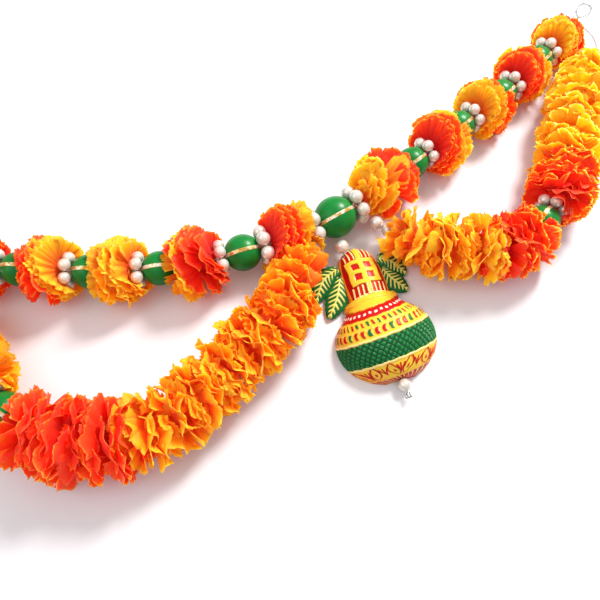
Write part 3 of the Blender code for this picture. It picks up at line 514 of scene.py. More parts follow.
class Clearance:
    """What petals stay clear of, as balls and rods that each have a radius. Rods are solid;
    sights are places that should be seen."""

    SIGHT_LENGTH = 40.0 * MM
    TOWARD_VIEWER = np.array((0.0, -math.cos(CAMERA_ELEVATION), math.sin(CAMERA_ELEVATION)))

    def __init__(self):
        self.rods = []
        self.sights = []

    def add(self, start, end, radius):
        self.rods.append((np.array(start), np.array(end), radius))

    def add_sight(self, point, radius):
        """Keeps petals short over a point that is seen from the front and from above."""
        point = np.array(point)
        self.sights.append((point, point + self.SIGHT_LENGTH * self.TOWARD_VIEWER, radius))

    def blocked(self, points):
        """Which of the points lie inside a rod or over something that should be seen."""
        flat = points.reshape(-1, 3)
        inside = np.zeros(len(flat), dtype=bool)
        for start, end, radius in self.rods + self.sights:
            inside |= from_rod(flat, start, end)[1] < radius
        return inside.reshape(points.shape[:-1])

    def push_out(self, points):
        """Moves points that lie inside a rod out to its surface."""
        flat = points.reshape(-1, 3)
        for start, end, radius in self.rods:
            middle = 0.5 * (start + end)
            reach = 0.5 * np.linalg.norm(end - start) + radius
            close = np.flatnonzero(np.linalg.norm(flat - middle, axis=1) < reach)
            if not len(close):
                continue
            away, distance = from_rod(flat[close], start, end)
            inside = distance < radius
            factor = radius / np.maximum(distance[inside], 1e-6)
            flat[close[inside]] += away[inside] * (factor - 1)[:, None]
        return flat.reshape(points.shape)


CLEAR = Clearance()

# Cloth petals

CLOTH_THICKNESS = 0.28 * MM
ROOT_RADIUS = 6.0 * MM
SHEET_FLOOR = 0.35 * MM
MOST_LEAN = math.radians(68.0)
MOST_TWIST = 0.8
NOTCH_CHANCE = 0.07
NOTCH_DEPTH = 3.2 * MM
CORE_SIDES = 14
CORE_STEP = 2.5 * MM
CORE_BORE = 2.0 * MM
CORE_THICKNESS = 2.0 * MM
# How petals of one style differ from one another, as shares of the usual value
WIDTH_RANGE = (0.85, 1.12)
REACH_RANGE = (0.92, 1.07)
TOOTH_RANGE = (0.2, 1.0)
PLEAT_RANGE = (0.8, 1.2)
DEPTH_RANGE = (0.7, 1.25)
# How far their roots, their turn and their lowest edge wander, in millimetres and in petals
ROOT_WANDER = 0.8
TURN_WANDER = 0.22
EDGE_WANDER = 1.2


@dataclass(frozen=True)
class PetalStyle:
    """The cut and the folds of one kind of petal, in degrees and millimetres."""
    per_disc: int
    rows: int
    columns: int
    half_angle: float
    lean_spread: float
    curl: float
    twist: float
    pleats: float
    pleat_depth: float
    sharpness: float
    cup: float
    crumple: float
    corner: float
    tooth: float
    nested: bool = False


RUFFLED = PetalStyle(per_disc=9, rows=6, columns=19, half_angle=33, lean_spread=20, curl=20,
                     twist=18, pleats=2.0, pleat_depth=2.2, sharpness=0.4, cup=2.4,
                     crumple=1.2, corner=0.10, tooth=1.9)
CRUMPLED = PetalStyle(per_disc=8, rows=6, columns=19, half_angle=29, lean_spread=11, curl=17,
                      twist=12, pleats=2.6, pleat_depth=1.9, sharpness=0.5, cup=1.8,
                      crumple=1.2, corner=0.12, tooth=1.8)
PLEATED = PetalStyle(per_disc=7, rows=6, columns=25, half_angle=26, lean_spread=2, curl=4,
                     twist=0, pleats=3.5, pleat_depth=1.8, sharpness=0.8, cup=0.3,
                     crumple=0.3, corner=0.05, tooth=1.3, nested=True)


@dataclass(frozen=True)
class Disc:
    """A gathered disc of cloth: its root on the string, its lean at the sides, how much
    further its upper side leans, the middle and radius of the ball that its edge follows,
    and the style of its petals."""
    s: float
    lean: float
    tilt: float
    middle: float
    radius: float
    style: PetalStyle


def each(values):
    """One value for each petal, which holds for all of its rows and columns."""
    return np.asarray(values, dtype=float).reshape(-1, 1, 1)


class Petals:
    """The petals of some discs that have one style. Their values are arrays of petals by rows
    by columns, in which t runs from a petal's root to its edge and u from side to side."""

    FLOOR_ROOM = 1.5 * MM
    LEAST_FLOOR_SHARE = 0.6
    SHORTENING = 0.82
    SHORTENING_STEPS = 7
    LEAST_SHARE = 0.22
    SHADE_ALONG = 0.55
    SHADE_OUTWARD = 0.45
    SHADE_IN_FOLDS = 0.06

    def __init__(self, route, discs, style, rng):
        self.route = route
        self.discs = discs
        self.style = style
        self.rng = rng
        self.count = len(discs) * style.per_disc
        self.u = np.linspace(-1, 1, style.columns)[None, None, :]
        self.t = (1 - (1 - np.linspace(0, 1, style.rows)) ** 1.3)[None, :, None]
        self.set_places()
        self.set_lean_and_reach()
        self.cut_edge()
        self.bend()
        self.fold()

    def of_disc(self, values):
        """One value for each disc, given to all of its petals."""
        return each(np.repeat(values, self.style.per_disc))

    def between(self, low, high):
        return each(self.rng.uniform(low, high, self.count))

    def about_zero(self, spread):
        return each(self.rng.normal(0, spread, self.count))

    def turn_of_disc(self):
        return self.of_disc(self.rng.uniform(0, TURN, len(self.discs)))

    def set_places(self):
        """Spaces the petals round their discs."""
        per_disc = self.style.per_disc
        number = np.tile(np.arange(per_disc), len(self.discs))
        if not self.style.nested:
            number = number + self.rng.uniform(-TURN_WANDER, TURN_WANDER, self.count)
        self.azimuth = self.turn_of_disc() + each(TURN * number / per_disc)
        wander = self.rng.uniform(-ROOT_WANDER, ROOT_WANDER, self.count) * MM
        roots = np.repeat([disc.s for disc in self.discs], per_disc) + wander
        self.roots = np.clip(roots, 0.0, self.route.length)
        self.half_angle = math.radians(self.style.half_angle) * self.between(*WIDTH_RANGE)
        if self.style.nested:
            self.half_angle = each(np.full(self.count, math.pi / per_disc))
        self.phase = self.between(0, TURN)

    def set_lean_and_reach(self):
        """Leans the petals, and ends them on their ball. The lower side of a tilted disc
        leans only a quarter as much, the other way."""
        upward = np.sin(self.azimuth + self.half_angle * self.u)
        tilt = self.of_disc([disc.tilt for disc in self.discs])
        lean = self.of_disc([disc.lean for disc in self.discs]) + tilt * (
            np.maximum(upward, 0) + 0.25 * np.minimum(upward, 0))
        lean = lean + self.about_zero(math.radians(self.style.lean_spread))
        self.lean = np.clip(lean, -MOST_LEAN, MOST_LEAN)
        offset = self.of_disc([disc.s - disc.middle for disc in self.discs])
        ball = self.of_disc([disc.radius for disc in self.discs])
        half = ROOT_RADIUS * np.cos(self.lean) + offset * np.sin(self.lean)
        reach = np.sqrt(half ** 2 - ROOT_RADIUS ** 2 - offset ** 2 + ball ** 2) - half
        self.reach = reach * self.between(*REACH_RANGE)
        self.reach = self.reach * self.fitting_share()[:, None, None]

    def fitting_share(self):
        """How much of each petal's reach is left, so that it doesn't run into the floor or
        cover what should be seen."""
        middle = self.style.columns // 2
        lean = self.lean[:, 0, middle][:, None]
        length = self.reach[:, 0, middle]
        centre, along, side, up = self.route.frame(self.roots)
        outward = spokes(self.azimuth[:, 0, 0], side, up)
        drop = np.maximum(-outward[:, 2], 0.05)
        room = (centre[:, 2] - self.FLOOR_ROOM) / drop - ROOT_RADIUS
        share = np.clip(room / (length * np.cos(lean[:, 0])), self.LEAST_FLOOR_SHARE, 1.0)
        direction = np.cos(lean) * outward + np.sin(lean) * along
        for _ in range(self.SHORTENING_STEPS):
            tip = (length * share)[:, None] * direction
            hit = CLEAR.blocked(centre + ROOT_RADIUS * outward + 0.7 * tip)
            hit |= CLEAR.blocked(centre + ROOT_RADIUS * outward + tip)
            shorter = np.maximum(self.SHORTENING * share, self.LEAST_SHARE)
            share = np.where(hit, shorter, share)
        return share

    def cut_edge(self):
        """Rounds the corners and cuts teeth and a few deep notches into the edge."""
        style = self.style
        edge = 1 - style.corner * np.abs(self.u) ** 3.5
        edge = edge + 0.045 * np.sin(2.7 * self.u + self.phase)
        shape = (self.count, 1, style.columns)
        teeth = self.rng.uniform(*TOOTH_RANGE, shape) * style.tooth * MM
        teeth[:, :, ::2] *= 0.12
        notches = (self.rng.uniform(0, 1, shape) < NOTCH_CHANCE) * NOTCH_DEPTH
        self.scale = np.repeat(edge, style.rows, axis=1)
        self.scale[:, -1:] -= (teeth + notches) / self.reach
        self.scale[:, -2:-1] -= 0.3 * notches / self.reach

    def bend(self):
        """Bends the petals from their lean at the root to their curl at the edge."""
        t = self.t
        curl = self.about_zero(math.radians(self.style.curl)) + 0.2 * np.sign(self.lean)
        self.bent = self.lean * (0.3 + 0.7 * smoothstep(0.0, 0.45, t)) + curl * t ** 1.6
        steps = np.diff(t, axis=1, prepend=0.0)
        size = self.reach * self.scale
        self.radial = ROOT_RADIUS + size * np.cumsum(np.cos(self.bent) * steps, axis=1)
        self.axial = size * np.cumsum(np.sin(self.bent) * steps, axis=1)
        self.sweep = self.half_angle * self.u * (1 + 0.12 * t)

    def fold(self):
        """Lifts the cloth off its smooth shape: pleats, a cup, crumples and a twist. Pleats
        of nested petals run on from petal to petal round the disc."""
        style = self.style
        t = self.t
        u = self.u
        if style.nested:
            folds = round(style.pleats * style.per_disc)
            wave = np.sin(folds * (self.azimuth + self.half_angle * u) + self.turn_of_disc())
        else:
            wave = np.sin(math.pi * style.pleats * self.between(*PLEAT_RANGE) * u + self.phase)
        crease = (2 / math.pi) * np.arcsin(np.clip(wave, -1, 1))
        self.pleat = (1 - style.sharpness) * wave + style.sharpness * crease
        lift = style.pleat_depth * MM * self.between(*DEPTH_RANGE) * t ** 1.3 * self.pleat
        lift = lift + self.about_zero(style.cup * MM) * (u ** 2 - 0.33) * t ** 1.6
        lift = lift + style.crumple * MM * t * np.sin(5.1 * t + 3.3 * u + 1.7 * self.phase) * (
            np.cos(4.3 * u - self.phase))
        twist = np.clip(self.about_zero(math.radians(style.twist)), -MOST_TWIST, MOST_TWIST)
        self.lift = lift + self.radial * self.sweep * np.tan(twist) * t

    def points(self):
        """Places of the petals' points, kept out of other pieces and above the floor."""
        centre, along, side, up = [v[:, None, None, :] for v in self.route.frame(self.roots)]
        outward = spokes(self.azimuth + self.sweep, side, up)
        across = spokes(self.bent, along, -outward)
        points = CLEAR.push_out(centre + self.radial[..., None] * outward
                                + self.axial[..., None] * along + self.lift[..., None] * across)
        low = SHEET_FLOOR + self.between(0.0, EDGE_WANDER) * MM
        under = points[..., 2] - low
        pressed = low + 0.08 * np.maximum(under, -4 * MM)
        points[..., 2] = np.where(under < 0, pressed, points[..., 2])
        points[..., 2] = np.maximum(points[..., 2], SHEET_FLOOR)
        return points

    def shade(self):
        """Painted shade of the cloth: its colour darkens towards the string and in its folds,
        where shade falls.
        """
        height = np.clip((self.radial - CORE_RADIUS) / (0.8 * self.reach), 0.0, 1.0)
        shade = (self.SHADE_ALONG * self.t + self.SHADE_OUTWARD * height
                 - self.SHADE_IN_FOLDS * self.t * np.abs(self.pleat - 1))
        return np.clip(shade, 0.0, 1.0)


def quads_of(indices):
    return np.stack([indices[:-1, :-1], indices[:-1, 1:], indices[1:, 1:], indices[1:, :-1]],
                    -1).reshape(-1, 4)


def add_sheets(soup, points, shade, tone):
    """Closes each grid of points into a thin sheet and gives it its cloth colours."""
    count, rows, columns = points.shape[:3]
    normals = unit(np.cross(np.gradient(points, axis=1), np.gradient(points, axis=2)) + 1e-12)
    inner = (points - CLOTH_THICKNESS * normals)[:, 1:-1, 1:-1]
    across = np.broadcast_to(np.linspace(0, 1, columns), shade.shape)
    tones = np.broadcast_to(tone[:, None, None], shade.shape)
    colours = np.stack([shade, tones, across], -1)
    # The hidden under face of each sheet is coloured darker: painted shade.
    inner_colours = colours[:, 1:-1, 1:-1] * (0.86, 1.0, 1.0)

    upper = np.arange(rows * columns).reshape(rows, columns)
    lower = upper.copy()
    hidden = (rows - 2) * (columns - 2)
    lower[1:-1, 1:-1] = rows * columns + np.arange(hidden).reshape(rows - 2, columns - 2)
    faces = np.concatenate([quads_of(upper), quads_of(lower)[:, ::-1]])
    faces = faces[None] + (rows * columns + hidden) * np.arange(count)[:, None, None]
    points = np.concatenate([points.reshape(count, -1, 3), inner.reshape(count, -1, 3)], 1)
    colours = np.concatenate([colours.reshape(count, -1, 3),
                              inner_colours.reshape(count, -1, 3)], 1)
    soup.add(points, faces.reshape(-1, 4), colours)


def add_core(soup, route, start, end, rng):
    """The tight middle of a stretch, where the discs are gathered on the string."""
    count = max(4, int((end - start) / CORE_STEP))
    centre, _, side, up = [v[:, None] for v in route.frame(np.linspace(start, end, count))]
    ring = spokes(circle(CORE_SIDES)[None], side, up)
    uneven = 1 + rng.uniform(-0.1, 0.1, (count, CORE_SIDES, 1))
    outer = centre + (ROOT_RADIUS + CORE_THICKNESS) * uneven * ring
    points = np.concatenate([outer, (centre + CORE_BORE * ring)[::-1]])
    points[..., 2] = np.maximum(points[..., 2], SHEET_FLOOR)
    # The core gets shade 0, the deepest colour of its cloth: painted shade deep inside the
    # flower.
    colours = np.zeros(points.shape)
    colours[..., 1] = 0.5
    soup.add_rings(points, colours, joined=True)


def cloth_piece(name, colour, route, start, end, discs, seed, tone_at):
    """The cloth of one solid. tone_at gives the tone of petals by root and azimuth."""
    rng = np.random.default_rng(seed)
    soup = Soup()
    add_core(soup, route, start, end, rng)
    for style in (RUFFLED, CRUMPLED, PLEATED):
        chosen = [disc for disc in discs if disc.style is style]
        if chosen:
            petals = Petals(route, chosen, style, rng)
            points = petals.points()
            tone = tone_at(petals.roots, petals.azimuth[:, 0, 0], rng)
            add_sheets(soup, points, petals.shade(), tone)
    obj = soup.build(name + "_cloth", CLOTH[colour], smooth_angle=100, colour_name="cloth")
    shade, tone, across = np.concatenate(soup.colours).T
    add_vectors(obj, "grain", np.stack([across * 16.0, shade * 2.0, tone * 40.0], -1))
    add_piece(obj, "petal_" + colour, name)


# Beads, their ribbon and the pearls

BEAD_ROWS = 32
BEAD_COLUMNS = 44
HOLE_ANGLE = 0.13
RIBBON_ROWS = 28
RIBBON_ANGLE = 0.16
RIBBON_WIDTH = 3.0 * MM
RIBBON_THICKNESS = 0.35 * MM
# The ribbon's section: across its width, and out from the bead in shares of its thickness
RIBBON_ACROSS = np.array([-0.5, -0.42, 0.0, 0.42, 0.5, 0.42, 0.0, -0.42])
RIBBON_OUT = np.array([0.02, 1.0, 1.15, 1.0, 0.02, -0.6, -0.6, -0.6])
PEARL_SHARE = 0.985
LOOP_RADIUS = 0.45 * MM
BEAD_CLEARANCE = 0.8 * MM
BEAD_SIGHT = 0.62
PEARL_CLEARANCE = 0.5 * MM
PEARL_SIGHT = 0.9


def make_bead(name, route, s, size, turn):
    """A smooth oval bead with a flat ribbon of glitter along three of its sides."""
    radius, half_length = size
    centre, along, side, up = route.frame(s)
    polar = np.linspace(HOLE_ANGLE, math.pi - HOLE_ANGLE, BEAD_ROWS)[:, None, None]
    ring = spokes(circle(BEAD_COLUMNS), side, up)
    outer = centre + half_length * np.cos(polar) * along + radius * np.sin(polar) * ring
    hole = 0.8 * radius * math.sin(HOLE_ANGLE)
    inner = np.stack([centre + half_length * share * along + hole * ring
                      for share in (-0.97, 0.97)])
    bead = Soup()
    bead.add_rings(np.concatenate([outer, inner]), joined=True, flipped=True)
    add_piece(bead.build(name + "_body", BEAD_PAINT, smooth_angle=50), "bead_green", name)

    ribbon = Soup()
    for k in range(3):
        add_ribbon(ribbon, route.frame(s), size, turn + TURN * k / 3)
    add_piece(ribbon.build(name + "_ribbon", GLITTER, smooth_angle=40), "gold_ribbon")


def add_ribbon(soup, bead_frame, size, middle):
    """A strip on a bead's surface from one end to the other."""
    centre, along, side, up = bead_frame
    radius, half_length = size
    rings = []
    for polar in np.linspace(RIBBON_ANGLE, math.pi - RIBBON_ANGLE, RIBBON_ROWS):
        reach = radius * math.sin(polar)
        outward = spokes(middle + RIBBON_ACROSS * RIBBON_WIDTH / max(reach, 3.0 * MM), side, up)
        normal = unit(half_length * math.sin(polar) * outward
                      + radius * math.cos(polar) * along)
        rings.append(centre + half_length * math.cos(polar) * along + reach * outward
                     + (RIBBON_OUT * RIBBON_THICKNESS)[:, None] * normal)
    soup.add_rings(np.array(rings), pinch=0.05)


def ring_radius(pearl_radius):
    """Radius of the circle through the middles of a ring of pearls."""
    return pearl_radius / math.sin(math.pi / PEARLS_PER_RING)


def ring_spacing(bead_radius, pearl_radius):
    """Distance from a bead's middle to the middle of the pearl ring that rests against it."""
    apart = bead_radius + pearl_radius + GAP
    return math.sqrt(apart ** 2 - ring_radius(pearl_radius) ** 2) + RING_SLACK


def ring_outward(side, up):
    """Directions from the middle of a ring to its pearls."""
    return spokes(TURN * (np.arange(PEARLS_PER_RING) + 0.5) / PEARLS_PER_RING, side, up)


def make_pearls(name, route, s, radius, link=()):
    """Pearls on a loop of thread round the string, and those of a link that leads away."""
    centre, along, side, up = route.frame(s)
    size = ring_radius(radius)
    pearls = Soup()
    for outward in ring_outward(side, up):
        add_ball(pearls, centre + size * outward, np.cross(outward, along),
                 PEARL_SHARE * radius)
    before = centre
    for pearl in link:
        add_ball(pearls, pearl, pearl - before, PEARL_SHARE * radius)
        before = pearl
    add_piece(pearls.build(name + "_balls", PEARL_COAT), "pearl", name)

    loop = Soup()
    path = centre + PEARL_SHARE * size * spokes(circle(48), side, up)
    add_tube(loop, path, LOOP_RADIUS, 6, closed=True)
    add_piece(loop.build(name + "_thread", COTTON), "thread")


def bead_clearance(route, s, radius, shift=0.0):
    """Keeps petals off a bead, and from over a place on it."""
    centre, along, _, _ = route.frame(s)
    CLEAR.add(centre, centre, radius + BEAD_CLEARANCE)
    CLEAR.add_sight(centre + shift * along, BEAD_SIGHT * radius)


def ring_clearance(route, s, pearl_radius):
    """Keeps petals off each pearl of a ring, and from over its upper ones."""
    centre, _, side, up = route.frame(s)
    size = ring_radius(pearl_radius)
    for pearl in centre + size * ring_outward(side, up):
        CLEAR.add(pearl, pearl, pearl_radius + PEARL_CLEARANCE)
        if pearl[2] > centre[2] - 0.1 * size:
            CLEAR.add_sight(pearl, PEARL_SIGHT * pearl_radius)


# The string and its ends

STRAND_OFFSET = 0.55 * THREAD_RADIUS
STRAND_RADIUS = 0.56 * THREAD_RADIUS
STRAND_PITCH = 4.2 * MM
STRAND_STEPS = 6
EYE_TUBE = 0.75 * MM
KNOT_STEPS = 40
KNOT_TURNS = 3
KNOT_COIL = 1.25 * MM
KNOT_TUBE = 0.55 * MM
HOOK_TUBE = 0.5 * MM
HOOK_REST = 0.8 * MM
HOOK_TAPER = 0.28
HOOK_TWIST_STEPS = 60
HOOK_TWIST_TURNS = 4
HOOK_TWIST_COIL = 0.55 * MM
HOOK_TWIST_TUBE = 0.4 * MM


def add_twisted_pair(soup, points):
    """Two strands twisted round each other along a path."""
    path = Route(list(points))
    s = np.linspace(0, path.length, int(path.length / STRAND_PITCH * STRAND_STEPS))
    centre, _, side, up = path.frame(s)
    for start in (0.0, math.pi):
        angles = TURN * s / STRAND_PITCH + start
        add_tube(soup, centre + STRAND_OFFSET * spokes(angles, side, up), STRAND_RADIUS, 4)


def make_string(top, left, right):
    """The twisted string, with an eye and a knot at both of its ends."""
    strings = Soup()
    for route in (top, left, right):
        add_twisted_pair(strings, route.samples[::12])
    for tip, outward in string_ends(top):
        eye = tip + EYE_RADIUS * outward + EYE_RADIUS * spokes(circle(24), outward, np.array(UP))
        add_tube(strings, eye, EYE_TUBE, 7, closed=True)
        run = np.linspace(-2.0, 1.2, KNOT_STEPS)[:, None] * MM * outward
        coil = KNOT_COIL * spokes(np.linspace(0, KNOT_TURNS * TURN, KNOT_STEPS),
                                  np.cross(outward, UP), np.array(UP))
        add_tube(strings, tip - 1.2 * MM * outward + run + coil, KNOT_TUBE, 6)
    add_piece(strings.build("string_strands", COTTON), "thread", "string")


def string_ends(top):
    """The two tips of the string and the level directions in which they point."""
    for s, sign in ((0.0, -1.0), (top.length, 1.0)):
        tip, along, _, _ = top.frame(s)
        yield tip, level(sign * along)


def make_hook(name, tip, along):
    """A drop-shaped loop of thin steel wire with its two ends twisted together."""
    start = tip + (2 * EYE_RADIUS - THREAD_RADIUS - WIRE_RADIUS - GAP) * along
    across = np.cross(along, UP)
    slope = (HOOK_REST - start[2]) / HOOK_LENGTH
    wire = Soup()

    def path(forward, sideways, lift=0.0):
        points = start + forward[:, None] * along + sideways[:, None] * across
        points[:, 2] = start[2] + slope * forward + lift
        return points

    angles = circle(72)
    taper = 1 - HOOK_TAPER - HOOK_TAPER * np.cos(angles)
    sideways = 0.5 * HOOK_WIDTH * np.sin(angles) * taper
    loop = path(0.5 * HOOK_LENGTH * (1 - np.cos(angles)), sideways)
    add_tube(wire, loop, HOOK_TUBE, 8, closed=True)
    twist = np.linspace(0, HOOK_TWIST_TURNS * TURN, HOOK_TWIST_STEPS)
    run = np.linspace(1.0, 9.0, HOOK_TWIST_STEPS) * MM
    for phase in (0.0, math.pi):
        strand = path(run, HOOK_TWIST_COIL * np.cos(twist + phase) - 0.62 * run,
                      HOOK_TWIST_COIL * np.sin(twist + phase))
        add_tube(wire, strand, HOOK_TWIST_TUBE, 6)
    add_piece(wire.build(name + "_wire", STEEL), "wire", name)


# The pendant

# Sections along its axis: place, half-width and depth, in millimetres
COCONUT_SECTIONS = ((0.0, 5.5, 7.0), (1.6, 9.0, 9.6), (5.0, 12.4, 12.4), (11.0, 15.2, 14.6),
                    (20.0, 17.0, 16.0), (32.0, 17.4, 16.2), (45.7, 16.4, 15.4))
POT_SECTIONS = ((46.0, 21.6, 16.6), (49.5, 22.8, 17.6), (52.0, 22.2, 17.2), (57.5, 26.8, 20.6),
                (64.0, 33.4, 24.6), (72.0, 37.8, 27.2), (81.0, 39.2, 28.0), (90.0, 38.0, 27.0),
                (98.0, 34.2, 24.6), (105.0, 28.0, 20.6), (110.5, 20.4, 15.6), (114.0, 11.5, 10.4))
COCONUT_GRID = (130, 130)
POT_GRID = (180, 216)
BAND_SLOPE = math.tan(math.radians(26.0))
BAND_ROLL = 0.10
GIRTH_RADIUS = 38.0
# Rods that keep petals off the coconut and the pot: start, end and radius in millimetres
PENDANT_RODS = ((6.0, 42.0, 18.5), (64.0, 98.0, 36.0))
LEAF_BASE_CLEARANCE = 6.0 * MM
LEAF_TIP_CLEARANCE = 5.5 * MM
LEAF_SIGHT = 7.5 * MM
BOTTOM_PEARL = 119.4 * MM
PEARL_THREADING = (0.3, -1.0, -0.2)
# Where the two pins run, in millimetres: from the upper pearl, and along the pendant
TOP_PIN_RUN = (-9.0, 15.0)
BOTTOM_PIN_RUN = (108.6, 125.2)
PIN_RADIUS = 0.5 * MM
KNOT_WIRE = 0.45 * MM
WIRE_COIL = 1.9 * MM
WIRE_COIL_TURNS = 2.2
WIRE_COIL_PLACE = 127.6 * MM

PAINT_YELLOW = (0.84, 0.55, 0.035)
PAINT_CREAM = (0.93, 0.74, 0.28)
PAINT_RED = (0.50, 0.004, 0.004)
PAINT_DEEP_RED = (0.34, 0.004, 0.004)
PAINT_GREEN = (0.003, 0.135, 0.026)
PAINT_DARK_GREEN = (0.001, 0.034, 0.008)
PAINT_HIGHLIGHT_GREEN = (0.02, 0.30, 0.08)
PAINT_LEAF_VEIN = (0.74, 0.72, 0.16)
PAINT_WHITE = (0.90, 0.86, 0.76)
PAINT_BROWN = (0.42, 0.12, 0.01)
PAINT_ORANGE = (0.90, 0.30, 0.02)


def pendant_points(s, lateral=0.0, height=0.0):
    """World places of points given along, across and above the pendant."""
    axis = np.array((math.sin(PENDANT_LEAN), -math.cos(PENDANT_LEAN), 0.0))
    across = np.array((math.cos(PENDANT_LEAN), math.sin(PENDANT_LEAN), 0.0))
    s, lateral, height = np.broadcast_arrays(s, lateral, height)
    return (PENDANT_TIP + s[..., None] * axis + lateral[..., None] * across
            + height[..., None] * np.array(UP))


def stroke(distance, half_width, softness):
    """One inside a line of the given half-width, falling to zero at its edge."""
    return 1 - smoothstep(half_width - softness, half_width + softness, np.abs(distance))


def band(values, low, high, softness):
    """One between two values, falling to zero past them."""
    return smoothstep(low - softness, low + softness, values) * (
        1 - smoothstep(high - softness, high + softness, values))


def repeat(values, pitch):
    """Distance from the middle of the nearest cell of a row, and that cell's number."""
    cell = np.floor(values / pitch)
    return values - (cell + 0.5) * pitch, cell


class Relief:
    """How far a surface stands out at each point, and its paint there."""

    def __init__(self, shape, ground, outline=(0.0, 0.0, 0.0), outline_share=0.0):
        self.out = np.zeros(shape)
        self.paint = np.broadcast_to(np.array(ground), (*shape, 3)).copy()
        self.outline = outline
        self.outline_share = outline_share

    def tint(self, mask, colour):
        self.paint = self.paint + mask[..., None] * (np.array(colour) - self.paint)

    def lift(self, mask, height):
        """Raises the surface, by a height in millimetres."""
        self.out = self.out + height * MM * mask

    def raise_strokes(self, mask, colour, height):
        """Lines of raised paint with a darker outline."""
        self.tint(self.outline_share * smoothstep(0.02, 0.5, mask), self.outline)
        self.tint(smoothstep(0.45, 0.75, mask), colour)
        self.lift(mask, height)


# Bands of the pot from the rim down: where each begins, in millimetres along the slanted bands
RIM_BAND = 44.5
RED_BAND = 50.0
UPPER_BAND = 56.8
GREEN_BAND = 74.4
LOWER_BAND = 94.6
FOOT_BAND = 109.0
DASH_ROW = 53.4
TICK_ROW = 60.5
DOT_ROW = 65.0
COMMA_ROW = 67.8
PAISLEY_ROW = 101.0
PAISLEY_PITCH = 21.0
COMMA_PITCH = 5.6


def pot_relief(s, angle, lateral, height):
    """Raised and painted bands round the pot, with painted shade towards its low sides. Lengths
    in here are in millimetres.
    """
    b = (s - BAND_SLOPE * (height - 4.0 * MM) + BAND_ROLL * lateral) / MM
    girth = angle * GIRTH_RADIUS
    girth = girth + 0.35 * (np.sin(0.9 * girth + 1.3) * np.sin(0.7 * b + 0.4))
    b = b + 0.22 * np.sin(0.55 * girth) + 0.12 * np.sin(1.7 * girth + 0.5)
    pot = Relief(s.shape, PAINT_YELLOW, PAINT_BROWN, 0.55)
    # Painted shade: the yellow turns orange towards the low sides by the floor, where the pot
    # curves away from the light.
    pot.tint(0.6 * (1 - smoothstep(4.0, 17.0, height / MM)), PAINT_ORANGE)
    paint_upper_bands(pot, girth, b)
    paint_green_band(pot, girth, b)
    paint_lower_bands(pot, girth, b)
    mottle = 0.5 + 0.5 * np.sin(1.9 * girth + 0.7 * b) * np.sin(1.3 * b - 0.9 * girth)
    pot.paint = pot.paint * (1 - 0.12 * mottle[..., None])
    return pot


def paint_upper_bands(pot, girth, b):
    """The rim, the red band with white dashes, and a yellow band of ticks, dots and commas."""
    pot.lift(band(b, RIM_BAND, RED_BAND - 0.4, 0.3), 0.7)
    pot.tint(0.6 * band(b, RED_BAND - 0.4, RED_BAND + 0.6, 0.4), PAINT_BROWN)
    red = band(b, RED_BAND, UPPER_BAND, 0.3)
    pot.tint(red, PAINT_RED)
    pot.lift(red, 0.3)
    across, _ = repeat(girth, 5.2)
    dashes = stroke(across, 1.25, 0.35) * stroke(b - DASH_ROW, 0.8, 0.35)
    pot.raise_strokes(dashes, PAINT_WHITE, 0.4)

    across, cell = repeat(girth, 4.5)
    down = b - TICK_ROW
    ticks = stroke(across + 0.3 * down, 1.0, 0.35) * stroke(down, 1.9, 0.5)
    pot.raise_strokes(ticks * (cell % 2 == 0), PAINT_GREEN, 0.5)
    pot.raise_strokes(ticks * (cell % 2 == 1), PAINT_RED, 0.5)
    across, cell = repeat(girth + 1.2, COMMA_PITCH)
    down = b - COMMA_ROW
    commas = stroke(across + 0.13 * down ** 2 - 0.6, 1.4, 0.4) * stroke(down, 2.8, 0.5)
    pot.raise_strokes(commas * (cell % 3 != 1), PAINT_RED, 0.55)
    pot.raise_strokes(commas * (cell % 3 == 1), PAINT_GREEN, 0.55)
    across, _ = repeat(girth + 4.0, COMMA_PITCH)
    pot.raise_strokes(stroke(np.hypot(across, b - DOT_ROW), 0.6, 0.3), PAINT_CREAM, 0.4)


def paint_green_band(pot, girth, b):
    """The green band, a net of raised scales between two cream ridges."""
    for edge in (GREEN_BAND - 0.9, LOWER_BAND + 0.2):
        ridge = stroke(b - edge, 0.85, 0.4)
        pot.tint(ridge, PAINT_CREAM)
        pot.lift(ridge, 0.8)
    green = band(b, GREEN_BAND + 0.2, LOWER_BAND - 0.8, 0.3)
    scale = np.minimum(np.abs(np.sin(0.62 * (girth + 0.9 * b))),
                       np.abs(np.sin(0.62 * (girth - 0.9 * b))))
    # The grooves of the net are dark green, partly the net's painted lines and partly painted
    # shade, and the crowns of the scales get a painted highlight of light green.
    pot.tint(green, PAINT_DARK_GREEN)
    pot.tint(green * smoothstep(0.10, 0.42, scale), PAINT_GREEN)
    pot.tint(0.35 * green * smoothstep(0.6, 0.95, scale), PAINT_HIGHLIGHT_GREEN)
    pot.lift(green * (0.85 * smoothstep(0.0, 0.7, scale) - 0.35), 1.0)


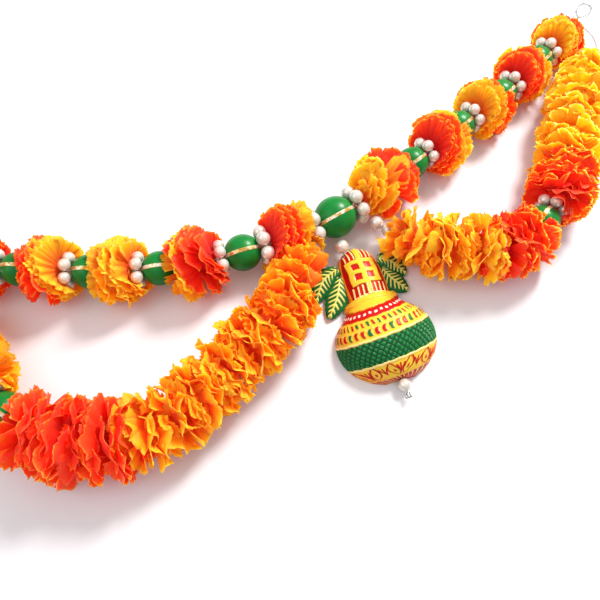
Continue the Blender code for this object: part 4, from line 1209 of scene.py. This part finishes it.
def paint_lower_bands(pot, girth, b):
    """A yellow band of paisleys with sprigs between them, and the red foot with cream strokes
    that sweep round it."""
    across, cell = repeat(girth + 3.0, PAISLEY_PITCH)
    y = b - PAISLEY_ROW
    flip = np.where(cell % 2 == 0, 1.0, -1.0)
    x = across * flip - 0.06 * (y + 5.0) ** 2 + 1.2
    q = np.clip((6.6 - y) / 12.8, 0.0, 1.0)
    half = 6.6 * np.sin(math.pi * q ** 0.75) * (1.0 - 0.25 * q)
    low = smoothstep(LOWER_BAND + 1.0, LOWER_BAND + 1.6, b)
    inside = (q > 0.0) & (q < 1.0)
    pot.raise_strokes(stroke(np.abs(x) - half, 1.15, 0.35) * low * inside, PAINT_RED, 0.6)
    pot.raise_strokes(stroke(np.hypot(x, y - 2.0), 1.5, 0.35) * low * inside, PAINT_RED, 0.4)
    sprig, _ = repeat(girth + 3.0 + 0.5 * PAISLEY_PITCH, PAISLEY_PITCH)
    for lean in (-0.75, 0.0, 0.75):
        blade = stroke(sprig - lean * (4.0 - y), 1.0, 0.35) * stroke(y - 0.8, 3.6, 0.6)
        pot.raise_strokes(blade * low, PAINT_RED, 0.5)

    foot = smoothstep(FOOT_BAND - 0.4, FOOT_BAND + 0.4, b)
    pot.tint(foot, PAINT_RED)
    sweep, _ = repeat(girth + 1.8 * (b - FOOT_BAND), 9.0)
    pot.raise_strokes(stroke(sweep, 1.0, 0.4) * foot, PAINT_CREAM, 0.4)


# The coconut's fretwork: half-widths and places in millimetres across and along it
SPINE_HALF = 2.2
COLUMN_PLACE = 9.6
COLUMN_HALF = 2.0
BAR_HALF = 1.9
FRET_TOP = 13.5
FRET_END = 35.5
COCONUT_FOOT = 44.4


def coconut_relief(s, angle, lateral, height):
    """Stripes, raised fretwork and slots on the coconut. Lengths in here are in millimetres."""
    y = s / MM
    x = lateral / MM + 0.25 * np.sin(0.45 * y + 0.6)
    y = y + 0.25 * np.sin(0.8 * x)
    side = np.abs(lateral) / MM / np.maximum(np.abs(lateral[:, :1]) / MM, 1.0)
    inner = 1 - smoothstep(0.80, 0.86, side)
    coconut = Relief(s.shape, PAINT_RED, PAINT_DEEP_RED, 0.6)
    coconut.raise_strokes(smoothstep(0.84, 0.89, side), PAINT_ORANGE, 0.7)
    # Stripes at the top
    across, _ = repeat(x + 1.7, 3.4)
    stripes = stroke(across, 0.55, 0.3) * (1 - smoothstep(FRET_TOP - 1.0, FRET_TOP, y))
    coconut.raise_strokes(stripes * inner, PAINT_CREAM, 0.5)
    # Fretwork: a spine, two columns and cross bars
    body = band(y, FRET_TOP, FRET_END, 0.4)
    column = stroke(np.abs(x) - COLUMN_PLACE, COLUMN_HALF, 0.35)
    fret = np.maximum(stroke(x, SPINE_HALF, 0.35), column * body)
    bar_end = 1 - smoothstep(COLUMN_PLACE + 1.4, COLUMN_PLACE + 2.0, np.abs(x))
    for row in (FRET_TOP + BAR_HALF, 0.5 * (FRET_TOP + FRET_END), FRET_END - BAR_HALF):
        fret = np.maximum(fret, stroke(y - row, BAR_HALF, 0.35) * bar_end)
    coconut.raise_strokes(fret * inner, PAINT_YELLOW, 1.0)
    # Slots with cream outlines below the fretwork, and the foot
    across, _ = repeat(np.abs(x) + 0.4, 3.6)
    slots = stroke(across, 0.6, 0.3) * smoothstep(FRET_END + 0.4, FRET_END + 1.2, y)
    coconut.raise_strokes(slots * inner, PAINT_CREAM, 0.5)
    foot = smoothstep(COCONUT_FOOT - 0.4, COCONUT_FOOT + 0.4, s / MM)
    coconut.raise_strokes(foot, PAINT_CREAM, 0.6)
    return coconut


def relief_object(name, sections, grid, relief_at, material):
    """A half-round relief with its paint, closed with a flat back and two flat ends.
    relief_at gives the relief at places along, round, across and above it."""
    s_line = np.linspace(sections[0][0], sections[-1][0], grid[0]) * MM
    s, angle = np.meshgrid(s_line, np.linspace(0.0, math.pi, grid[1]), indexing="ij")
    curve = Route([np.array(section, dtype=float) * MM for section in sections]).samples
    half_width, depth = [np.interp(s_line, curve[:, 0], curve[:, k])[:, None] for k in (1, 2)]
    lateral = half_width * np.cos(angle)
    height = depth * np.sin(angle)
    relief = relief_at(s, angle, lateral, height)
    out = relief.out * smoothstep(0.0, 0.12, np.sin(angle))
    normal_lateral = np.cos(angle) * depth
    normal_height = np.sin(angle) * half_width
    size = np.sqrt(normal_lateral ** 2 + normal_height ** 2)
    lateral = lateral + out * normal_lateral / size
    height = np.maximum(height + out * normal_height / size, 0.0)
    points = pendant_points(s, lateral, height)
    back = 0.5 * (points[:, :1] + points[:, -1:])
    soup = Soup()
    soup.add_rings(np.concatenate([points, back], axis=1),
                   np.concatenate([relief.paint, relief.paint[:, :1]], axis=1), pinch=0.02)
    return soup.build(name + "_relief", material, smooth_angle=70, colour_name="paint")


LEAF_GRID = (72, 35)
LEAF_WIDTH = 19.0 * MM
LEAF_THICKNESS = 3.6 * MM
LEAF_DEPTH = 0.9 * MM
LEAF_FLOOR = 0.3 * MM
VEIN_HEIGHT = 0.45
VEINS = 8.5


def add_leaf(soup, spine):
    """An arched leaf with a midrib, feathered veins and a notched edge."""
    route = Route(spine)
    share = np.linspace(0.0, 1.0, LEAF_GRID[0])
    centre, _, side, up = [v[:, None] for v in route.frame(share * route.length)]
    width = (LEAF_WIDTH * np.sin(math.pi * (0.12 + 0.84 * share)) ** 0.7)[:, None]
    v, u = np.meshgrid(share, np.linspace(-1.0, 1.0, LEAF_GRID[1]), indexing="ij")
    from_rib = np.abs(u)
    vein_phase = v * VEINS - 1.6 * from_rib + 0.14 * np.sin(5.0 * v + 2.0 * u)
    from_vein = (vein_phase % 1.0) - 0.5
    edge = 1 - 0.20 * np.abs(from_vein) * smoothstep(0.6, 1.0, from_rib)
    x = 0.5 * width * u * edge
    vein = stroke(from_vein, 0.23 - 0.14 * from_rib, 0.07)
    vein = vein * (1 - smoothstep(0.50, 0.68, from_rib + 0.12 * np.sin(9.0 * v)))
    line = np.maximum(vein, stroke(u, 0.07, 0.04) * smoothstep(0.06, 0.12, v))
    leaf = Relief(v.shape, PAINT_GREEN)
    leaf.out = LEAF_THICKNESS * (1.05 - 0.45 * v) * (1 - from_rib ** 2.4) * 0.62
    leaf.lift(line, VEIN_HEIGHT)
    patch = 0.5 + 0.5 * np.sin(7.0 * v + 2.5 * u) * np.sin(11.0 * v - 4.0 * u)
    leaf.tint(0.55 * patch, PAINT_DARK_GREEN)
    leaf.tint(line * 0.95, PAINT_LEAF_VEIN)
    top = centre + x[..., None] * side + leaf.out[..., None] * up
    bottom = centre + x[..., None] * side - LEAF_DEPTH * up
    rim = np.concatenate([top, bottom[:, ::-1][:, 1:-1]], axis=1)
    rim[..., 2] = np.maximum(rim[..., 2], LEAF_FLOOR)
    paint = np.concatenate([leaf.paint, leaf.paint[:, ::-1][:, 1:-1]], axis=1)
    soup.add_rings(rim, paint, pinch=0.03)


def make_pendant():
    for name, slot, sections, grid, relief_at in (
            ("kalash_pot", "pot_paint", POT_SECTIONS, POT_GRID, pot_relief),
            ("coconut", "coconut_paint", COCONUT_SECTIONS, COCONUT_GRID, coconut_relief)):
        material = painted_material(slot, 0.38)
        add_piece(relief_object(name, sections, grid, relief_at, material), slot, name)
    leaf_paint = painted_material("leaf_paint", 0.26)
    for name, leaves in LEAVES.items():
        soup = Soup()
        for spine in leaves:
            add_leaf(soup, spine)
        obj = soup.build(name + "_painted", leaf_paint, smooth_angle=60, colour_name="paint")
        add_piece(obj, "leaf_paint", name)

    bottom_pearl = pendant_points(BOTTOM_PEARL, 0.0, BOTTOM_PIN_HEIGHT)
    for end, centre, radius in (("top", TOP_PEARL_PLACE, BIG_PEARL_RADIUS),
                                ("bottom", bottom_pearl, PEARL_RADIUS)):
        name = f"pearl_pendant_{end}"
        soup = Soup()
        add_ball(soup, centre, PEARL_THREADING, radius, rows=21, columns=32)
        add_piece(soup.build(name + "_ball", PEARL_COAT), "pearl", name)

    pin = Soup()
    direction = unit(TOP_PEARL - CENTRE_BEAD)
    run = TOP_PEARL_PLACE + np.linspace(*TOP_PIN_RUN, 30)[:, None] * MM * direction
    add_tube(pin, run, PIN_RADIUS, 8)
    add_piece(pin.build("pendant_pin_top_wire", STEEL), "wire", "pendant_pin_top")

    knot = Soup()
    turns = np.linspace(0, 1, 60)
    angle = WIRE_COIL_TURNS * TURN * turns
    start = pendant_points(np.linspace(*BOTTOM_PIN_RUN, 14) * MM, 0.0, BOTTOM_PIN_HEIGHT)
    coil = pendant_points(WIRE_COIL_PLACE + WIRE_COIL * np.sin(angle), (4.4 * turns - 2.2) * MM,
                          BOTTOM_PIN_HEIGHT - WIRE_COIL * np.cos(angle) + 0.2 * MM)
    add_tube(knot, np.concatenate([start, coil]), KNOT_WIRE, 8)
    add_piece(knot.build("pendant_knot_wire", STEEL), "wire", "pendant_knot")


def pendant_clearance():
    """Keeps petals off the coconut, the pot, the leaves and the pearls beside them."""
    for start, end, radius in PENDANT_RODS:
        CLEAR.add(pendant_points(start * MM), pendant_points(end * MM), radius * MM)
    for leaves in LEAVES.values():
        for base, middle, tip in leaves:
            CLEAR.add(base, middle, LEAF_BASE_CLEARANCE)
            CLEAR.add(middle, tip, LEAF_TIP_CLEARANCE)
            leaf = Route([base, middle, tip])
            for share in (0.0, 0.25, 0.5, 0.75, 1.0):
                CLEAR.add_sight(leaf.at(share * leaf.length), LEAF_SIGHT)
    for pearl in (*LINK_LEFT, *LINK_RIGHT, TOP_PEARL_PLACE):
        CLEAR.add(pearl, pearl, BIG_PEARL_RADIUS + PEARL_CLEARANCE)
        CLEAR.add_sight(pearl, BIG_PEARL_RADIUS)


# Flowers and swags

def warm_tone(middle, roots, rng):
    """Tone of yellow and orange petals, which wanders a little round a middle."""
    return np.clip(middle + rng.uniform(-0.2, 0.25, len(roots)), 0.0, 1.0)


def yellow_tone(roots, azimuths, rng):
    """Painted shade: yellow petals are coloured warmer and deeper on the side that is turned
    down, away from the light.
    """
    return warm_tone(0.10 + 0.45 * smoothstep(0.3, -0.9, np.sin(azimuths)), roots, rng)


def red_tone(roots, azimuths, rng):
    return np.clip(0.35 + rng.uniform(-0.35, 0.35, len(roots)), 0.0, 1.0)


def fading_tone(end):
    """Warm cloth at the start of a swag, which turns to the plain one at a length."""
    def tone(roots, azimuths, rng):
        return warm_tone(0.05 + 0.45 * (1 - smoothstep(0.0, end, roots)), roots, rng)
    return tone


# Flowers between the beads, left to right: name, radius, shift along the string, then the
# colour, number and style of discs
TOP_FLOWERS = (
    ("flower_left_1", 27.0, 0.0, (("red", 7, CRUMPLED),)),
    ("flower_left_2", 28.5, 0.0, (("red", 4, CRUMPLED), ("yellow", 4, PLEATED))),
    ("flower_left_3", 28.0, 0.0, (("yellow", 8, CRUMPLED),)),
    ("flower_left_4", 29.5, -1.0, (("yellow", 3, CRUMPLED), ("red", 5, CRUMPLED))),
    ("flower_left_5", 28.5, 2.0, (("red", 5, PLEATED), ("yellow", 4, CRUMPLED))),
    ("flower_right_1", 30.0, 5.0, (("yellow", 5, CRUMPLED), ("red", 4, CRUMPLED))),
    ("flower_right_2", 28.0, 1.5, (("red", 4, PLEATED), ("yellow", 4, CRUMPLED))),
    ("flower_right_3", 27.0, 1.5, (("yellow", 4, PLEATED), ("red", 4, CRUMPLED))),
    ("flower_right_4", 26.5, 1.5, (("red", 4, PLEATED), ("yellow", 4, CRUMPLED))),
    ("flower_right_5", 25.0, 1.0, (("yellow", 4, PLEATED), ("red", 4, CRUMPLED))),
)
FLOWER_SEED = 20
FACE_TILT = math.radians(70.0)
FACE_CROWDING = 1.5
SIDE_TILT_SHARE = 0.15
STRING_END = "string end"
# How the last disc of a flower lies by its neighbour: lean and inset from the end
END_SHAPES = {
    None: (45.0, 2.0 * MM),
    STRING_END: (24.0, 3.0 * MM),
    PEARL_RADIUS: (50.0, 1.0 * MM),
    BIG_PEARL_RADIUS: (46.0, 1.0 * MM),
}
# How the beads' ribbons are turned round them, in degrees
RIBBON_TURN = 78.0
RIBBON_TURN_STEP = 3.0
SWAG_RIBBON_TURN = 100.0
BEAD_SIGHT_SHIFT = 3.0 * MM
SWAG_CLUMP = 23.0 * MM
SWAG_SEED = 200
SWAG_CLUMP_SEED = 300
SWAG_END_FAN = 20 * MM
CLUMP_DISCS = 5
CLUMP_LEAN = 37.0
CLUMP_LEAN_WANDER = 8
CLUMP_WANDER = 1.5
CLUMP_SHARE = 0.36
CLUMP_EXTRA = 1.5 * MM


def make_top_string(route):
    """The beads and pearls of the top string. Returns the spaces between them for flowers:
    their two ends, and what stands at each."""
    spaces = []
    previous = None
    for number, (name, x, size, ring_before, ring_after) in enumerate(TOP_BEADS):
        s = route.where(0, x)
        radius, half_length = size
        make_bead(name, route, s, size, math.radians(RIBBON_TURN - RIBBON_TURN_STEP * number))
        ring_side = (ring_after is not None) * 1.0 - (ring_before is not None) * 1.0
        bead_clearance(route, s, radius, BEAD_SIGHT_SHIFT * ring_side)
        before = s - half_length - GAP
        after = s + half_length + GAP
        links = (LINK_LEFT, LINK_RIGHT) if name == "bead_centre" else ((), ())
        if ring_before:
            at = s - ring_spacing(radius, ring_before)
            before = at - ring_before - GAP
            make_pearls(f"pearls_before_{name}", route, at, ring_before, links[0])
            ring_clearance(route, at, ring_before)
        if ring_after:
            at = s + ring_spacing(radius, ring_after)
            after = at + ring_after + GAP
            make_pearls(f"pearls_after_{name}", route, at, ring_after, links[1])
            ring_clearance(route, at, ring_after)
        if previous is None:
            previous = (before - END_FLOWER_CORE, STRING_END)
        spaces.append((previous[0], before, previous[1], ring_before))
        previous = (after, ring_after)
    spaces.append((previous[0], previous[0] + END_FLOWER_CORE, previous[1], STRING_END))
    return spaces


def flower_fan(start, end, radius, shift, styles, start_kind, end_kind):
    """Fanned discs between two ends. Beside a ring of pearls the upper side of the discs
    leans back, so that the flower shows its face."""
    start_lean, start_inset = END_SHAPES[start_kind]
    end_lean, end_inset = END_SHAPES[end_kind]
    rings = (PEARL_RADIUS, BIG_PEARL_RADIUS)
    start_tilt = FACE_TILT if start_kind in rings else -SIDE_TILT_SHARE * FACE_TILT
    end_tilt = -FACE_TILT if end_kind in rings else SIDE_TILT_SHARE * FACE_TILT
    first = start + start_inset
    last = end - end_inset
    middle = 0.5 * (start + end) + shift
    discs = []
    for index, style in enumerate(styles):
        share = index / (len(styles) - 1)
        if end_kind not in rings:
            share = share ** FACE_CROWDING
        elif start_kind not in rings:
            share = 1 - (1 - share) ** FACE_CROWDING
        lean = math.radians(-start_lean + (start_lean + end_lean) * share)
        tilt = start_tilt + (end_tilt - start_tilt) * share
        discs.append(Disc(first + (last - first) * share, lean, tilt, middle, radius, style))
    return discs


def make_flowers(route, spaces):
    """The flowers of the top string. Each colour of a flower is a piece of its own."""
    for number, ((name, radius, shift, colours), space) in enumerate(zip(TOP_FLOWERS, spaces)):
        start, end, start_kind, end_kind = space
        if start_kind and end_kind == BIG_PEARL_RADIUS:
            end_kind = None
        styles = [style for _, discs, style in colours for _ in range(discs)]
        fan = flower_fan(start, end, radius * MM, shift * MM, styles, start_kind, end_kind)
        used = 0
        for part, (colour, discs, _) in enumerate(colours):
            own = fan[used:used + discs]
            first = start if part == 0 else 0.5 * (own[0].s + fan[used - 1].s + GAP)
            used += discs
            last = end if used == len(fan) else 0.5 * (own[-1].s + fan[used].s - GAP)
            node = name if len(colours) == 1 else f"{name}_{colour}"
            tone = yellow_tone if colour == "yellow" else red_tone
            seed = FLOWER_SEED + 7 * number + part
            cloth_piece(node, colour, route, first, last, own, seed, tone)


def swag_fan(start, end, fan_start, fan_end, reach, rng):
    """Clumps of fanned discs, one after another, as carnations threaded tightly."""
    count = max(1, round((end - start) / SWAG_CLUMP))
    width = (end - start) / count
    discs = []
    for clump in range(count):
        middle = start + (clump + 0.5) * width + rng.uniform(-CLUMP_WANDER, CLUMP_WANDER) * MM
        for index in range(CLUMP_DISCS):
            share = 2 * index / (CLUMP_DISCS - 1) - 1
            root = middle + CLUMP_SHARE * width * share
            lean = (CLUMP_LEAN + rng.uniform(-CLUMP_LEAN_WANDER, CLUMP_LEAN_WANDER)) * share
            lean -= fan_start * max(0.0, 1 - (root - start) / SWAG_END_FAN)
            lean += fan_end * max(0.0, 1 - (end - root) / SWAG_END_FAN)
            radius = (CORE_RADIUS + reach + CLUMP_EXTRA) * rng.uniform(0.97, 1.04)
            discs.append(Disc(root, math.radians(lean), 0.0, middle, radius, RUFFLED))
    return discs


def make_swags(left, right):
    """The two swags: a bead with a ring of pearls on each, and stretches of cloth."""
    left_bead = left.where(0, -184.5)
    left_red = left.where(0, -96.0)
    right_bead = right.where(0, 214.5)
    right_red = right.where(0, 172.0)
    right_red_end = right.where(1, 24.0)
    spacing = ring_spacing(BEAD_RADIUS, PEARL_RADIUS)
    past_ring = spacing + PEARL_RADIUS + GAP
    for name, route, s in (("left", left, left_bead), ("right", right, right_bead)):
        make_bead(f"bead_swag_{name}", route, s, BEAD, math.radians(SWAG_RIBBON_TURN))
        bead_clearance(route, s, BEAD_RADIUS)
        make_pearls(f"pearls_swag_{name}", route, s + spacing, PEARL_RADIUS)
        ring_clearance(route, s + spacing, PEARL_RADIUS)
    # Name, colour, route, its two ends, how far its end discs fan out in degrees, tone
    stretches = (
        ("left_orange", "orange", left, SWAG_START_GAP, left_red - GAP, 14, 0,
         fading_tone(left_red)),
        ("left_red", "red", left, left_red, left_bead - BEAD_HALF_LENGTH - GAP, 0, 40, red_tone),
        ("left_yellow", "yellow", left, left_bead + past_ring, left.where(0, -240.0), 44, 25,
         yellow_tone),
        ("right_yellow_inner", "yellow", right, SWAG_START_GAP, right_red - GAP, 14, 0,
         yellow_tone),
        ("right_red_inner", "red", right, right_red, right_bead - BEAD_HALF_LENGTH - GAP, 0, 40,
         red_tone),
        ("right_red_outer", "red", right, right_bead + past_ring, right_red_end - GAP, 44, 0,
         red_tone),
        ("right_yellow_outer", "yellow", right, right_red_end, right.where(1, 132.0), 0, 25,
         yellow_tone),
    )
    for number, (name, colour, route, start, end, *fans, tone) in enumerate(stretches):
        reach = RED_SWAG_REACH if name == "left_red" else SWAG_REACH
        rng = np.random.default_rng(SWAG_CLUMP_SEED + number)
        discs = swag_fan(start, end, *fans, reach, rng)
        cloth_piece(f"swag_{name}", colour, route, start, end, discs, SWAG_SEED + number, tone)


# Floor, camera and lights

FLOOR_SIZE = 4.0
LENS = 36.0
SENSOR = 36.0
SKY = ((0.0, (0.50, 0.49, 0.50)), (0.35, (0.62, 0.61, 0.62)), (1.0, (1.0, 0.985, 0.98)))
# Name, place, what it is turned to, diameter, power and colour
LIGHTS = (
    ("key", (0.75, 0.85, 1.15), (0.0, 0.0, 0.0), 0.55, 40.0, (1.0, 0.98, 0.96)),
    ("fill", (-1.1, -0.4, 1.3), (0.0, -0.05, 0.0), 1.2, 6.0, (0.95, 0.97, 1.0)),
)


def make_floor():
    material = clouded_material(
        "floor", 35.0, 2.0, ((0.3, (0.715, 0.715, 0.728)), (0.7, (0.73, 0.73, 0.743))),
        Roughness=0.9, Specular_IOR_Level=0.1)
    corners = [(x * FLOOR_SIZE, y * FLOOR_SIZE, 0.0)
               for x, y in ((-1, -1), (1, -1), (1, 1), (-1, 1))]
    floor = new_object("floor", corners, [(0, 1, 2, 3)], material)


def add_light(name, location, target, size, power, colour):
    data = bpy.data.lights.new(name, "AREA")
    data.shape = "DISK"
    data.size = size
    data.energy = power
    data.color = colour
    light = bpy.data.objects.new(name, data)
    light.location = location
    direction = Vector(target) - Vector(location)
    light.rotation_euler = direction.to_track_quat("-Z", "Y").to_euler()
    bpy.context.scene.collection.objects.link(light)


def make_camera():
    data = bpy.data.cameras.new("camera")
    data.lens = LENS
    data.sensor_width = SENSOR
    data.sensor_height = SENSOR
    data.clip_start = 0.01
    camera = bpy.data.objects.new("camera", data)
    look = Vector((0.0, math.cos(CAMERA_ELEVATION), -math.sin(CAMERA_ELEVATION)))
    camera.location = Vector(CAMERA_AIM) - CAMERA_DISTANCE * look
    camera.rotation_euler = look.to_track_quat("-Z", "Y").to_euler()
    bpy.context.scene.collection.objects.link(camera)
    bpy.context.scene.camera = camera


def make_lights():
    """A bright even sky, a broad key light from above and behind, and a weak fill."""
    world = bpy.data.worlds.new("world")
    world.use_nodes = True
    shading = Shading(world.node_tree)
    split = shading.nodes.new("ShaderNodeSeparateXYZ")
    shading.link(shading.place("Generated"), split.inputs["Vector"])
    background = shading.nodes["Background"]
    shading.link(shading.ramp(split.outputs["Z"], SKY), background.inputs["Color"])
    background.inputs["Strength"].default_value = 1.0
    bpy.context.scene.world = world
    for light in LIGHTS:
        add_light(*light)
    bpy.context.scene.view_settings.view_transform = "Standard"


def main():
    top = Route(TOP_ROUTE)
    left = Route(SWAG_LEFT_ROUTE)
    right = Route(SWAG_RIGHT_ROUTE)
    make_camera()
    make_lights()
    make_floor()
    pendant_clearance()
    spaces = make_top_string(top)
    make_swags(left, right)
    make_flowers(top, spaces)
    make_string(top, left, right)
    for name, (tip, outward) in zip(("hook_left", "hook_right"), string_ends(top)):
        make_hook(name, tip, outward)
    make_pendant()


main()
